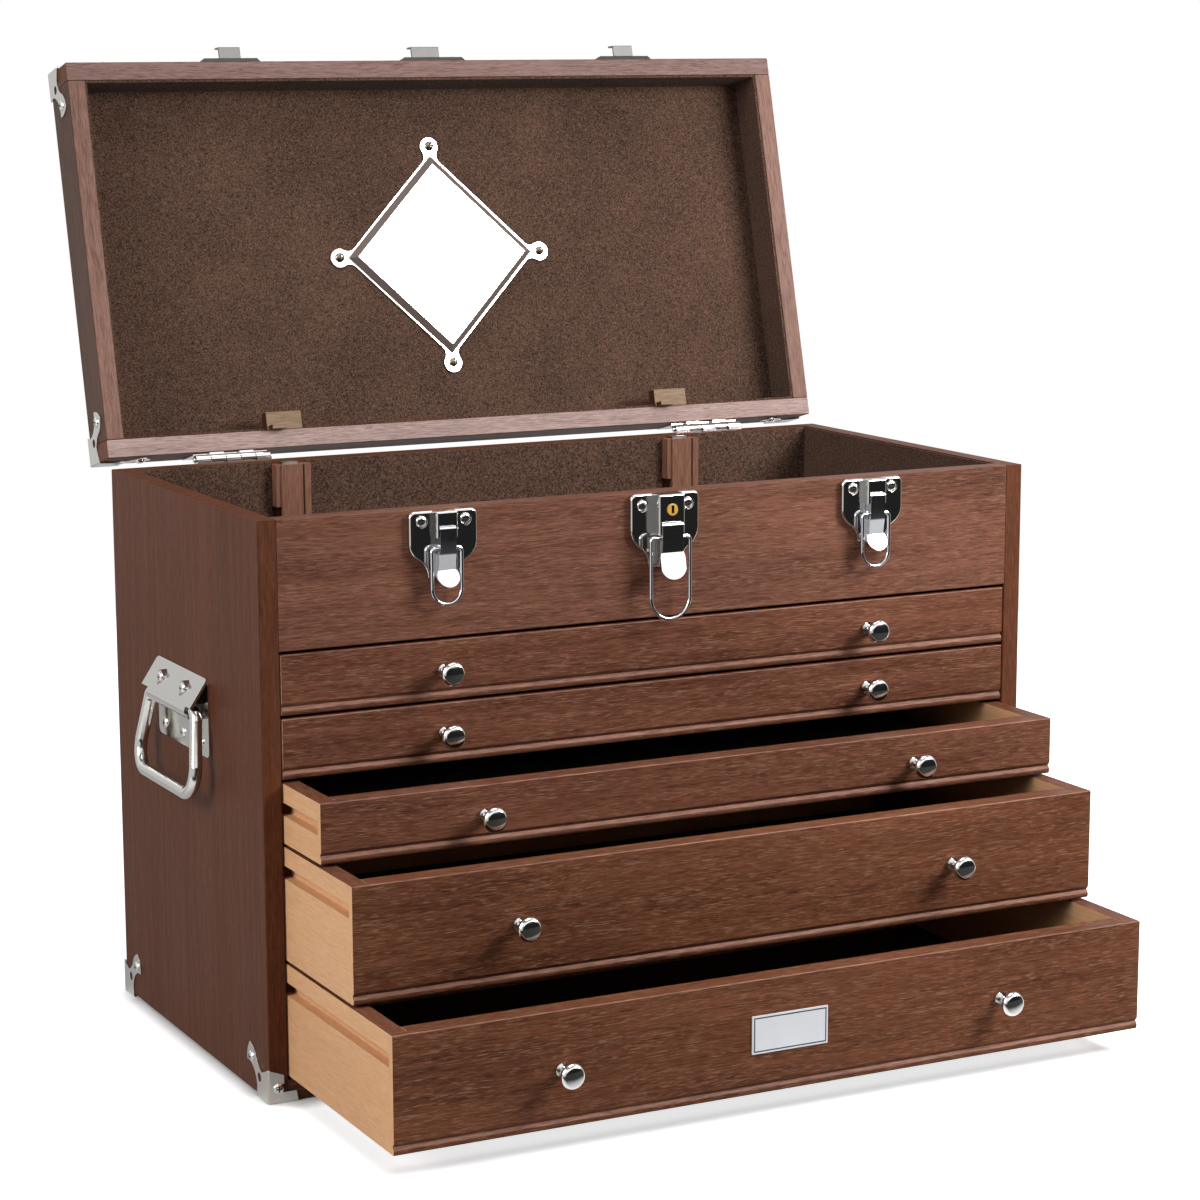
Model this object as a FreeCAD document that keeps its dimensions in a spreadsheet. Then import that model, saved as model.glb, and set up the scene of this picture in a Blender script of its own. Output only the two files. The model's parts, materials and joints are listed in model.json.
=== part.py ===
import FreeCAD, Part
import math
import os

import Sketcher

# Driving sizes in millimetres and degrees. The case stands on its corner guards at z = 0,
# with its middle at x = 0, y = 0, its front towards -y and its left side towards -x.
DIMENSIONS = {
    # Case boards
    "case_width": 527.0,
    "case_depth": 260.0,
    "case_height": 347.5,
    "side_thickness": 12.0,
    "rail_thickness": 12.0,
    "back_thickness": 9.0,
    "bottom_thickness": 12.0,
    "till_floor_thickness": 6.0,
    "edge_ease": 0.8,
    # Drawers
    "drawer_gap": 2.0,
    "drawer_side_gap": 1.0,
    "shallow_share": 0.1036,
    "deep_share": 0.19856,
    "drawer_back_gap": 9.0,
    "front_thickness": 14.0,
    "front_lip": 5.0,
    "drawer_side_thickness": 11.0,
    "drawer_back_thickness": 8.0,
    "drawer_back_drop": 14.0,
    "drawer_bottom_thickness": 4.0,
    "drawer_bottom_lift": 4.0,
    "bottom_groove_depth": 4.0,
    "bead_height": 5.0,
    "bead_notch": 1.8,
    "bead_bevel": 2.1,
    "bead_radius": 3.1,
    "bead_foot": 1.0,
    "drawer_3_open": 56.3,
    "drawer_4_open": 100.8,
    "drawer_5_open": 154.5,
    # Runners
    "runner_height": 7.0,
    "runner_proud": 7.0,
    "runner_drop": 12.0,
    "runner_play": 0.4,
    "groove_extra_depth": 0.6,
    "runner_end_gap": 0.6,
    "runner_back_gap": 30.0,
    # Knobs
    "knob_spacing": 295.0,
    "knob_base_radius": 4.2,
    "knob_base_height": 2.0,
    "knob_neck_radius": 3.1,
    "knob_neck_height": 8.0,
    "knob_head_radius": 7.7,
    "knob_rim_height": 13.6,
    "knob_height": 17.6,
    "knob_rim_round": 2.2,
    # Lid
    "lid_height": 35.0,
    "lid_gap": 0.5,
    "lid_wall": 12.0,
    "lid_panel_thickness": 6.0,
    "lid_open_angle": 104.2,
    "felt_thickness": 1.5,
    "felt_margin": 0.8,
    # Mirror
    "mirror_half_diagonal": 62.0,
    "mirror_thickness": 2.8,
    "window_half_diagonal": 58.6,
    "rim_half_diagonal": 63.4,
    "rim_slope": 57.0,
    "bezel_half_diagonal": 71.5,
    "bezel_thickness": 3.8,
    "bezel_sheet": 1.2,
    "bezel_neck": 6.0,
    "ear_offset": 75.7,
    "ear_radius": 6.8,
    # Hinges
    "hinge_inset": 85.0,
    "hinge_length": 52.0,
    "hinge_axis_back": 4.8,
    "hinge_axis_up": 1.6,
    "knuckle_radius": 3.2,
    "knuckle_gap": 0.3,
    "pin_radius": 1.6,
    "pin_play": 0.05,
    "pin_head": 1.2,
    "leaf_thickness": 1.4,
    "leaf_height": 22.0,
    # Lid lock
    "lock_offset": 145.7,
    "post_width": 15.0,
    "post_front_gap": 10.0,
    "post_board": 2.5,
    "post_top_drop": 2.0,
    "guide_strip": 4.5,
    "guide_gap": 1.2,
    "guide_block_height": 28.0,
    "guide_block_width": 3.5,
    "bar_width": 11.0,
    "bar_thickness": 4.6,
    "bar_back_gap": 1.6,
    "bar_top_drop": 0.5,
    "bar_travel": 6.0,
    "bar_foot_gap": 8.0,
    "hook_thickness": 3.5,
    "hook_arm": 3.5,
    "hook_tip": 6.0,
    "hook_clearance": 1.5,
    "hook_width": 6.0,
    "block_width": 25.0,
    "block_shift": 6.0,
    "block_depth": 12.0,
    "block_height": 14.0,
    "block_slope": 6.0,
    "block_lip_depth": 3.0,
    "block_lip_width": 10.4,
    "block_push_gap": 0.3,
    "block_room": 0.4,
    # Corner guards
    "guard_sheet": 1.2,
    "guard_arris_height": 20.0,
    "guard_arris_width": 9.0,
    "guard_foot_length": 18.0,
    "guard_foot_height": 5.5,
    "guard_sole_width": 11.4,
    "guard_notch_in": 2.6,
    "guard_notch_top": 10.8,
    "leaf_tip_along": 27.5,
    "leaf_tip_up": 30.5,
    "leaf_screw_along": 25.5,
    "leaf_screw_up": 21.5,
    "leaf_half_width": 7.0,
    "leaf_side_radius": 14.0,
    "guard_eye_radius": 2.8,
    "guard_eye_along": 13.0,
    "guard_eye_up": 12.0,
    "guard_ease": 1.0,
    # Screws
    "screw_head_radius": 3.2,
    "screw_head_height": 1.5,
    "screw_crown_radius": 2.2,
    "screw_shank_radius": 1.5,
    "screw_length": 8.0,
    # Side handles
    "handle_height": 219.3,
    "handle_pivot_out": 7.5,
    "handle_tilt": 7.8,
    "handle_plate_width": 90.0,
    "handle_plate_up": 21.0,
    "handle_plate_down": 28.0,
    "handle_sheet": 1.5,
    "hood_width": 88.0,
    "hood_front_out": 12.8,
    "hood_front_up": 4.0,
    "roll_width": 68.0,
    "rod_radius": 4.0,
    "rod_play": 0.08,
    "rod_end_gap": 0.4,
    "roll_sheet": 1.4,
    "bail_shoulder_half": 42.0,
    "bail_waist_half": 49.5,
    "bail_bend": 6.0,
    "bail_waist_down": 32.0,
    "bail_down": 50.0,
    "bail_corner": 14.0,
    "handle_corner": 4.0,
    "hood_dish_radius": 4.6,
    "hood_dish_out": 8.6,
    "hood_screw_length": 17.0,
    "hood_screw_offset": 20.0,
    "hood_screw_up": 12.0,
    "plate_screw_offset": 33.0,
    "plate_screw_down": 20.0,
    "guard_front_screw_in": 5.4,
    "guard_front_screw_up": 8.0,
    "hinge_screw_offset": 18.0,
    "hinge_screw_down": 14.0,
}

LATCHES = {
    # Outer pair of draw latches: sizes from the latch's middle and from the case's top edge
    "outer": {
        "offset": 148.0,
        "plate_width": 44.0,
        "plate_top": 1.0,
        "plate_shoulder": 20.0,
        "plate_foot": 41.0,
        "plate_foot_width": 20.0,
        "plate_rise": 4.0,
        "box_width": 14.0,
        "box_rise": 5.8,
        "box_foot": 16.5,
        "screw_spacing": 28.4,
        "screw_drop": 6.8,
        "pivot_drop": 12.0,
        "pivot_out": 7.5,
        "roll_radius": 3.1,
        "lever_width": 10.4,
        "lever_bend": 25.4,
        "lever_waist": 36.0,
        "lever_waist_in": 2.0,
        "lever_wall_foot": 41.0,
        "tab_foot": 45.6,
        "tab_out": 13.6,
        "tab_width": 14.0,
        "bail_drop": 23.0,
        "bail_out": 8.0,
        "bail_half_width": 9.6,
        "bail_length": 33.5,
        "strike_width": 41.0,
        "hook_width": 15.4,
        "hook_out": 10.4,
        "hook_floor_up": 5.1,
    },
    # Middle draw latch with the lock
    "lock": {
        "middle": 0.0,
        "plate_width": 47.0,
        "plate_top": 0.4,
        "plate_shoulder": 22.0,
        "plate_foot": 46.0,
        "plate_foot_width": 22.0,
        "plate_rise": 4.0,
        "box_width": 18.0,
        "box_rise": 9.0,
        "box_foot": 24.5,
        "screw_spacing": 31.6,
        "screw_drop": 7.5,
        "pivot_drop": 20.0,
        "pivot_out": 10.6,
        "roll_radius": 3.3,
        "lever_width": 14.4,
        "lever_bend": 30.0,
        "lever_waist": 36.0,
        "lever_waist_in": 0.5,
        "lever_wall_foot": 44.0,
        "tab_foot": 52.2,
        "tab_out": 16.6,
        "tab_width": 17.0,
        "bail_drop": 27.0,
        "bail_out": 10.6,
        "bail_half_width": 13.4,
        "bail_length": 50.3,
        "strike_width": 46.4,
        "hook_width": 21.0,
        "hook_out": 13.0,
        "hook_floor_up": 16.4,
    },
    # Sizes that all the latches share
    "latch": {
        "strike_slope": 30.0,
        "plate_corner": 4.0,
        "plate_ease": 1.5,
        "dish_radius": 4.1,
        "dish_depth": 0.7,
        "sheet": 1.2,
        "pin_radius": 1.4,
        "pin_play": 0.08,
        "slot_play": 0.3,
        "wire_radius": 1.2,
        "wire_play": 0.3,
        "wire_end_gap": 0.4,
        "strike_rise": 2.7,
        "strike_start": 0.6,
        "strike_height": 17.5,
        "strike_screw_inset": 6.5,
        "strike_screw_up": 9.0,
        "hook_lip": 6.0,
        "plug_radius": 3.6,
        "plug_play": 0.06,
        "plug_proud": 0.6,
        "plug_depth": 7.0,
        "plug_drop": 9.8,
        "keyway_width": 1.6,
        "keyway_length": 5.0,
        "keyway_depth": 3.0,
    },
}

for family, family_sizes in LATCHES.items():
    for size_name, size_value in family_sizes.items():
        DIMENSIONS[family + "_" + size_name] = size_value

doc = FreeCAD.newDocument("ToolChest")
sheet = doc.addObject("Spreadsheet::Sheet", "Sizes")
for row, (size_name, size_value) in enumerate(DIMENSIONS.items(), start=1):
    sheet.set("A%d" % row, size_name)
    sheet.set("B%d" % row, str(size_value))
    sheet.setAlias("B%d" % row, size_name)
doc.recompute()


class Size:
    """A size with its number and the sheet expression that gives it."""

    def __init__(self, number, text):
        self.number = number
        self.text = text

    def join(self, other, sign, number, swap=False):
        text = as_size(other).text
        pair = (text, self.text) if swap else (self.text, text)
        return Size(number, "(%s %s %s)" % (pair[0], sign, pair[1]))

    def __add__(self, other):
        return self.join(other, "+", self.number + as_size(other).number)

    def __radd__(self, other):
        return self.join(other, "+", self.number + as_size(other).number, True)

    def __sub__(self, other):
        return self.join(other, "-", self.number - as_size(other).number)

    def __rsub__(self, other):
        return self.join(other, "-", as_size(other).number - self.number, True)

    def __mul__(self, other):
        return self.join(other, "*", self.number * as_size(other).number)

    def __rmul__(self, other):
        return self.join(other, "*", self.number * as_size(other).number, True)

    def __truediv__(self, other):
        return self.join(other, "/", self.number / as_size(other).number)

    def __neg__(self):
        return Size(-self.number, "(0 - %s)" % self.text)


def as_size(value):
    """A Size, made from a plain count or share where it isn't one."""
    return value if isinstance(value, Size) else Size(float(value), repr(value))


def size(name):
    """The Size behind one alias of the sheet."""
    return Size(float(sheet.get(name)), "Sizes." + name)


def bind(obj, prop, value):
    """Tie one property to its sheet expression."""
    obj.setExpression(prop, as_size(value).text)


nodes = []


def keep(label, obj):
    """Name a finished sub-part, which becomes the file of that name."""
    obj.Label = label
    nodes.append(obj)
    return obj


def add(kind, name):
    return doc.addObject(kind, name)


def box(name, xs, ys, zs):
    """A block between two places on each axis."""
    obj = add("Part::Box", name)
    for prop, base, (low, high) in zip(("Length", "Width", "Height"), "xyz", (xs, ys, zs)):
        bind(obj, prop, high - low)
        bind(obj, "Placement.Base." + base, low)
    return obj


# Turns that point a sub-part's own z axis along another one
TURNS = {"x": FreeCAD.Rotation(0, 90, 0), "-x": FreeCAD.Rotation(0, -90, 0),
         "y": FreeCAD.Rotation(0, 0, -90), "-y": FreeCAD.Rotation(0, 0, 90),
         "z": FreeCAD.Rotation(), "-z": FreeCAD.Rotation(0, 180, 0)}


def cylinder(name, radius, length, centre, axis):
    """A cylinder that starts at centre and runs along one of the TURNS."""
    obj = add("Part::Cylinder", name)
    obj.Placement = FreeCAD.Placement(FreeCAD.Vector(), TURNS[axis])
    bind(obj, "Radius", radius)
    bind(obj, "Height", length)
    for base, value in zip("xyz", centre):
        bind(obj, "Placement.Base." + base, value)
    return obj


def screw(name, centre, axis, length=None):
    """A screw whose head sits on a place and points along one of the TURNS."""
    length = length or size("screw_length")
    head = add("Part::Cone", name + "_head")
    bind(head, "Radius1", size("screw_head_radius"))
    bind(head, "Radius2", size("screw_crown_radius"))
    bind(head, "Height", size("screw_head_height"))
    shank = cylinder(name + "_shank", size("screw_shank_radius"), length, (0, 0, -length), "z")
    body = fuse(name, [head, shank])
    body.Placement = FreeCAD.Placement(FreeCAD.Vector(), TURNS[axis])
    for base, value in zip("xyz", centre):
        bind(body, "Placement.Base." + base, value)
    return body


def cut(name, base, tool):
    obj = add("Part::Cut", name)
    obj.Base = base
    obj.Tool = tool
    return obj


def fuse(name, shapes):
    obj = add("Part::MultiFuse", name)
    obj.Shapes = shapes
    return obj


def common(name, first, second):
    obj = add("Part::Common", name)
    obj.Base = first
    obj.Tool = second
    return obj


def group(name, links):
    """Separate solids that share one node."""
    obj = add("Part::Compound", name)
    obj.Links = links
    return obj


def mirrored(name, source, normal):
    """A copy on the other side of a plane through the origin."""
    obj = add("Part::Mirroring", name)
    obj.Source = source
    obj.Normal = normal
    return obj


def eased(name, base, pick, radius):
    """Round the edges that pick chooses."""
    doc.recompute()
    obj = add("Part::Fillet", name)
    obj.Base = base
    chosen = [i for i, edge in enumerate(base.Shape.Edges, start=1) if pick(edge)]
    obj.Edges = [(i, radius.number, radius.number) for i in chosen]
    return obj


def along(edge, axis):
    """Whether a straight edge runs along one axis."""
    if len(edge.Vertexes) < 2:
        return False
    run = edge.Vertexes[1].Point - edge.Vertexes[0].Point
    return abs(abs(run[axis]) - run.Length) < run.Length / 1000


def lies_on(edge, axis, goal):
    """Whether both ends and the middle of an edge lie at one place on an axis."""
    points = [vertex.Point for vertex in edge.Vertexes] + [edge.CenterOfMass]
    return all(near(point[axis], goal) for point in points)


def near(value, goal):
    """Whether two places agree to a small share of the case's width."""
    return abs(value - as_size(goal).number) < case_width.number / 1e5


def outline(body, plane, points, offset=0):
    """A closed sketch on one of the body's origin planes. A point is (across, up), or (across, up,
    radius) where an arc arrives at it, which bulges to the right of the way for a radius over 0."""
    sketch = body.newObject("Sketcher::SketchObject", body.Name + "Sketch")
    roles = {"xy": "XY_Plane", "xz": "XZ_Plane", "yz": "YZ_Plane"}
    face = [f for f in body.Origin.OriginFeatures if f.Role == roles[plane]][0]
    sketch.AttachmentSupport = [(face, "")]
    sketch.MapMode = "FlatFace"
    bind(sketch, "AttachmentOffset.Base.z", offset)
    places = [FreeCAD.Vector(as_size(p[0]).number, as_size(p[1]).number, 0) for p in points]
    count = len(points)
    for i in range(count):
        start, end = places[i], places[(i + 1) % count]
        target = points[(i + 1) % count]
        if len(target) == 2:
            sketch.addGeometry(Part.LineSegment(start, end), False)
        else:
            sketch.addGeometry(arc_between(start, end, target[2].number), False)
    # An arc of a circle keeps its own order of ends, so each edge's ends are looked up first
    edges = sketch.Geometry
    starts = [arc_end(edges[i], places[i]) for i in range(count)]
    ends = [arc_end(edges[i], places[(i + 1) % count]) for i in range(count)]
    for i in range(count):
        after = (i + 1) % count
        sketch.addConstraint(Sketcher.Constraint("Coincident", i, ends[i], after, starts[after]))
    for i in range(count):
        for kind, value in (("DistanceX", points[i][0]), ("DistanceY", points[i][1])):
            number = sketch.addConstraint(
                Sketcher.Constraint(kind, -1, 1, i, starts[i], as_size(value).number))
            if isinstance(value, Size):
                bind(sketch, "Constraints[%d]" % number, value)
        target = points[(i + 1) % count]
        if len(target) == 3:
            radius = target[2] if target[2].number > 0 else -target[2]
            number = sketch.addConstraint(Sketcher.Constraint("Radius", i, radius.number))
            bind(sketch, "Constraints[%d]" % number, radius)
    return sketch


def arc_between(start, end, radius):
    """The shorter arc between two places, which bulges to the right of the way for a radius over 0."""
    chord = end - start
    side = FreeCAD.Vector(-chord.y, chord.x, 0).normalize()
    inset = math.sqrt(max(radius ** 2 - (chord.Length / 2) ** 2, 0))
    centre = (start + end) / 2 + side * math.copysign(inset, radius)
    first, last = (start, end) if radius > 0 else (end, start)
    angles = [math.atan2(p.y - centre.y, p.x - centre.x) for p in (first, last)]
    if angles[1] < angles[0]:
        angles[1] += 2 * math.pi
    circle = Part.Circle(centre, FreeCAD.Vector(0, 0, 1), abs(radius))
    return Part.ArcOfCircle(circle, angles[0], angles[1])


def arc_end(geometry, place):
    """1 where a sketch edge starts at a place, 2 where it ends there."""
    first = (geometry.StartPoint - place).Length
    last = (geometry.EndPoint - place).Length
    return 1 if first <= last else 2


def extrusion(name, plane, points, length, offset=0, taper=None, midplane=False):
    """A body padded from one outline. The xz plane pads towards -y."""
    body = add("PartDesign::Body", name)
    sketch = outline(body, plane, points, offset)
    pad = body.newObject("PartDesign::Pad", name + "Pad")
    pad.Profile = sketch
    pad.Midplane = midplane
    bind(pad, "Length", length)
    if taper is not None:
        bind(pad, "TaperAngle", taper)
    sketch.Visibility = False
    return body


def revolution(name, points, offset_axis):
    """A body turned about its own y axis from an outline in the xy plane, then placed."""
    body = add("PartDesign::Body", name)
    sketch = outline(body, "xy", points)
    turn = body.newObject("PartDesign::Revolution", name + "Turn")
    turn.Profile = sketch
    turn.ReferenceAxis = (sketch, ["V_Axis"])
    turn.Angle = 360
    for base, value in zip("xyz", offset_axis):
        bind(body, "Placement.Base." + base, value)
    return body


def place(obj, x=None, y=None, z=None):
    for base, value in (("x", x), ("y", y), ("z", z)):
        if value is not None:
            bind(obj, "Placement.Base." + base, value)
    return obj


def turn_about_x(obj, angle, y, z):
    """Turn a sub-part about a line along x through y, z."""
    text = "placement(vector(0; 0; 0); rotation(vector(1; 0; 0); %s); vector(0; %s; %s))"
    obj.setExpression("Placement", text % (angle.text, y.text, z.text))
    return obj


# Places that many sub-parts share
case_width = size("case_width")
case_depth = size("case_depth")
side_thickness = size("side_thickness")
guard_sheet = size("guard_sheet")
half_width = case_width / 2
inner_half_width = half_width - side_thickness
front_face = -(case_depth / 2)
back_face = case_depth / 2
back_inner = back_face - size("back_thickness")
case_bottom = guard_sheet
case_top = guard_sheet + size("case_height")
opening_bottom = case_bottom + size("bottom_thickness")
drawer_gap = size("drawer_gap")
ease = size("edge_ease")

# Drawers from the top down: number, height and how far it stands open
shallow_height = size("case_height") * size("shallow_share")
deep_height = size("case_height") * size("deep_share")
drawer_heights = {1: shallow_height, 2: shallow_height, 3: shallow_height, 4: deep_height, 5: deep_height}
drawer_opens = {3: size("drawer_3_open"), 4: size("drawer_4_open"), 5: size("drawer_5_open")}
drawer_bottoms = {}
level = opening_bottom + drawer_gap
for number in (5, 4, 3, 2, 1):
    drawer_bottoms[number] = level
    level = level + drawer_heights[number] + drawer_gap
rail_bottom = level
drawer_rear = back_inner - size("drawer_back_gap")
till_floor_top = rail_bottom + size("till_floor_thickness")

hinge_offset = half_width - size("hinge_inset")
hinge_y = back_face + size("hinge_axis_back")
hinge_z = case_top + size("hinge_axis_up")
lid_open = -size("lid_open_angle")


def on_lid(label, obj):
    """Keep a lid sub-part, drawn shut and turned to where the lid stands."""
    return turn_about_x(keep(label, obj), lid_open, hinge_y, hinge_z)


def in_drawer(number, label, obj):
    """Keep a drawer sub-part, drawn shut and pulled out as far as its drawer."""
    keep(label, obj)
    if number in drawer_opens:
        place(obj, y=-drawer_opens[number])
    return obj


# Case boards
def make_case_boards():
    for label, xs in (("side_panel_left", (-half_width, -inner_half_width)),
                      ("side_panel_right", (inner_half_width, half_width))):
        outer = xs[0] if label.endswith("left") else xs[1]
        block = box(label + "_board", xs, (front_face, back_face), (case_bottom, case_top))
        keep(label, eased(label + "_eased", block,
                          lambda e: near(e.CenterOfMass.x, outer) or near(e.CenterOfMass.y, front_face)
                          and along(e, 2), ease))
    rail = box("rail_board", (-inner_half_width, inner_half_width),
               (front_face, front_face + size("rail_thickness")), (rail_bottom, case_top))
    keep("front_rail", eased("rail_eased", rail,
                             lambda e: along(e, 0) and near(e.CenterOfMass.y, front_face), ease))
    keep("back_panel", group("back_board", [
        box("back_block", (-inner_half_width, inner_half_width), (back_inner, back_face),
            (case_bottom, case_top))]))
    keep("bottom_panel", group("bottom_board", [
        box("bottom_block", (-inner_half_width, inner_half_width), (front_face, back_inner),
            (case_bottom, opening_bottom))]))


# Runners on the case's sides, one pair for each drawer
def make_runners():
    runners = []
    front_end = front_face + size("front_lip") + size("runner_end_gap")
    for number in (1, 2, 3, 4, 5):
        top = drawer_bottoms[number] + drawer_heights[number] - size("runner_drop")
        zs = (top - size("runner_height"), top)
        ys = (front_end, back_inner - size("runner_back_gap"))
        proud = inner_half_width - size("runner_proud")
        runners.append(box("runner_left", (-inner_half_width, -proud), ys, zs))
        runners.append(box("runner_right", (proud, inner_half_width), ys, zs))
    keep("drawer_runners", group("runners", runners))


# Till floor, its felt, and the wooden posts that guide the lock bars
lock_offset = size("lock_offset")
bar_half = size("bar_width") / 2
bar_back = back_inner - size("bar_back_gap")
bar_front = bar_back - size("bar_thickness")
post_front = back_inner - size("post_front_gap")
post_half = size("post_width") / 2
lining_top = case_top - size("felt_margin")


def make_till():
    floor = box("floor_board", (-inner_half_width, inner_half_width),
                (front_face + size("rail_thickness"), back_inner), (rail_bottom, till_floor_top))
    play = size("runner_play")
    slots = []
    for side, middle in (("left", -lock_offset), ("right", lock_offset)):
        slots.append(box("bar_slot_" + side, (middle - bar_half - play, middle + bar_half + play),
                         (bar_front - play, back_inner + play),
                         (rail_bottom - play, till_floor_top + play)))
    keep("till_floor", cut("floor_slotted", floor, fuse("bar_slots", slots)))

    felt = size("felt_thickness")
    ys = (front_face + size("rail_thickness"), back_inner)
    outer = box("felt_outer", (-inner_half_width, inner_half_width), ys, (till_floor_top, lining_top))
    inner = box("felt_inner", (-inner_half_width + felt, inner_half_width - felt),
                (ys[0] + felt, ys[1] - felt), (till_floor_top + felt, lining_top + felt))
    rooms = [inner]
    left_edge = post_half + size("guide_block_width")
    right_edge = post_half + size("guide_gap") + size("guide_strip")
    for side, middle in (("left", -lock_offset), ("right", lock_offset)):
        rooms.append(box("felt_room_" + side, (middle - left_edge, middle + right_edge),
                         (post_front - felt, back_inner + felt),
                         (till_floor_top - felt, lining_top + felt)))
    keep("till_lining", cut("felt_tray", outer, fuse("felt_rooms", rooms)))


def make_lock_posts():
    posts = []
    top = case_top - size("post_top_drop")
    board_back = post_front + size("post_board")
    for side, middle in (("left", -lock_offset), ("right", lock_offset)):
        board = box("post_board_" + side, (middle - post_half, middle + post_half),
                    (post_front, board_back), (till_floor_top, top))
        block = box("guide_block_" + side,
                    (middle - post_half - size("guide_block_width"), middle - bar_half - size("runner_play")),
                    (post_front + size("post_board") / 2, back_inner),
                    (top - size("guide_block_height"), top))
        strip_low = middle + post_half + size("guide_gap")
        strip = box("guide_strip_" + side, (strip_low, strip_low + size("guide_strip")),
                    (post_front, back_inner), (till_floor_top, top))
        web = box("guide_web_" + side, (middle + bar_half + size("runner_play"), strip_low),
                  (board_back - size("post_board") / 2, back_inner), (till_floor_top, top))
        posts.append(fuse("post_" + side, [board, block, strip, web]))
    keep("lock_posts", group("posts", posts))


# Lock bars behind the drawers: the lid presses them down and their hooks drop behind each drawer's back
def make_lock_bars():
    hook_reach = drawer_rear - size("drawer_back_thickness")
    tip_back = hook_reach - size("hook_clearance") / 2
    tip_front = tip_back - size("hook_thickness")
    hook_half = size("hook_width") / 2
    for side, middle in (("left", -lock_offset), ("right", lock_offset)):
        bar_top = case_top - size("bar_top_drop")
        bar_low = opening_bottom + size("bar_foot_gap")
        pieces = [box("bar_" + side, (middle - bar_half, middle + bar_half), (bar_front, bar_back),
                      (bar_low, bar_top))]
        for number in (1, 2, 3, 4, 5):
            back_top = drawer_bottoms[number] + drawer_heights[number] - size("drawer_back_drop")
            tip_low = back_top + size("hook_clearance")
            arm_low = tip_low + size("hook_tip")
            arm_top = arm_low + size("hook_arm")
            xs = (middle - hook_half, middle + hook_half)
            pieces.append(box("hook_arm_" + side, xs, (tip_front, bar_front), (arm_low, arm_top)))
            pieces.append(box("hook_tip_" + side, xs, (tip_front, tip_back), (tip_low, arm_low)))
        keep("lock_bar_" + side, group("lock_bar_body_" + side, pieces))


# Drawers
def make_drawer(number):
    name = "drawer_%d_" % number
    bottom = drawer_bottoms[number]
    height = drawer_heights[number]
    top = bottom + height
    outer = inner_half_width - size("drawer_side_gap")
    side = size("drawer_side_thickness")
    lip = size("front_lip")
    front_back = front_face + size("front_thickness")
    back_outer = drawer_rear
    back_front = back_outer - size("drawer_back_thickness")
    panel_low = bottom + size("drawer_bottom_lift")
    panel_top = panel_low + size("drawer_bottom_thickness")
    groove = size("bottom_groove_depth")
    notch = front_face + size("bead_notch")
    bead_top = bottom + size("bead_height")

    # Front with its bead, rabbeted at both ends and grooved for the bottom
    face = extrusion(name + "front_face", "yz", [
        (front_back, bottom),
        (front_back, top),
        (front_face + ease, top),
        (front_face, top - ease, ease),
        (front_face, bead_top + size("bead_bevel")),
        (notch, bead_top),
        (front_face + size("bead_foot"), bottom, size("bead_radius"))],
        outer * 2, offset=-outer)
    ends = []
    for end, xs in (("left", (-outer, -(outer - side))), ("right", (outer - side, outer))):
        ends.append(box(name + "rabbet_" + end, xs, (front_face + lip, front_back), (bottom, top)))
    ends.append(box(name + "front_groove", (-(outer - side), outer - side),
                    (front_back - groove, front_back), (panel_low, panel_top)))
    in_drawer(number, name + "front", cut(name + "front_cut", face, fuse(name + "front_rooms", ends)))

    # Sides grooved for the runners and the bottom, and the lower back board
    runner_top = top - size("runner_drop")
    play = size("runner_play")
    depth = size("runner_proud") - size("drawer_side_gap") + size("groove_extra_depth")
    walls = []
    for end, sign in (("left", -1), ("right", 1)):
        xs = (outer * sign, (outer - side) * sign)
        room = ((outer + play) * sign, (outer - depth) * sign)
        slot = ((outer - side + groove) * sign, (outer - side - play) * sign)
        if sign > 0:
            xs, room, slot = xs[::-1], room[::-1], slot[::-1]
        wall = box(name + "wall_" + end, xs, (front_face + lip, back_outer), (bottom, top))
        grooves = fuse(name + "grooves_" + end, [
            box(name + "runner_room_" + end, room, (front_face + lip - play, back_outer + play),
                (runner_top - size("runner_height") - play, runner_top + play)),
            box(name + "bottom_slot_" + end, slot, (front_back, back_outer + play),
                (panel_low, panel_top))])
        walls.append(cut(name + "side_" + end, wall, grooves))
    walls.append(box(name + "back_board", (-(outer - side), outer - side), (back_front, back_outer),
                     (panel_top, top - size("drawer_back_drop"))))
    in_drawer(number, name + "box", group(name + "walls", walls))

    # Bottom, held in the grooves of the sides and the front
    reach = outer - side + groove
    panel = box(name + "panel", (-reach, reach), (front_back, back_outer), (panel_low, panel_top))
    tongue = box(name + "tongue", (-(outer - side), outer - side),
                 (front_back - groove, front_back), (panel_low, panel_top))
    in_drawer(number, name + "bottom", fuse(name + "panel_body", [panel, tongue]))

    # Two turned knobs
    knobs = []
    height_out = size("knob_height")
    for end, middle in (("left", -size("knob_spacing") / 2), ("right", size("knob_spacing") / 2)):
        knobs.append(revolution(name + "knob_" + end, [
            (0, 0),
            (0, -height_out),
            (size("knob_head_radius") - size("knob_rim_round"), -(height_out - size("knob_rim_round") / 4)),
            (size("knob_head_radius"), -size("knob_rim_height"), size("knob_rim_round") * 1.6),
            (size("knob_neck_radius"), -size("knob_neck_height")),
            (size("knob_neck_radius"), -size("knob_base_height")),
            (size("knob_base_radius"), -size("knob_base_height")),
            (size("knob_base_radius"), 0)],
            (middle, front_face, bottom + height / 2)))
    in_drawer(number, name + "knobs", group(name + "knob_pair", knobs))


# Lid, drawn shut
lid_bottom = case_top + size("lid_gap")
lid_top = lid_bottom + size("lid_height")
lid_wall = size("lid_wall")
panel_under = lid_top - size("lid_panel_thickness")


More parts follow.
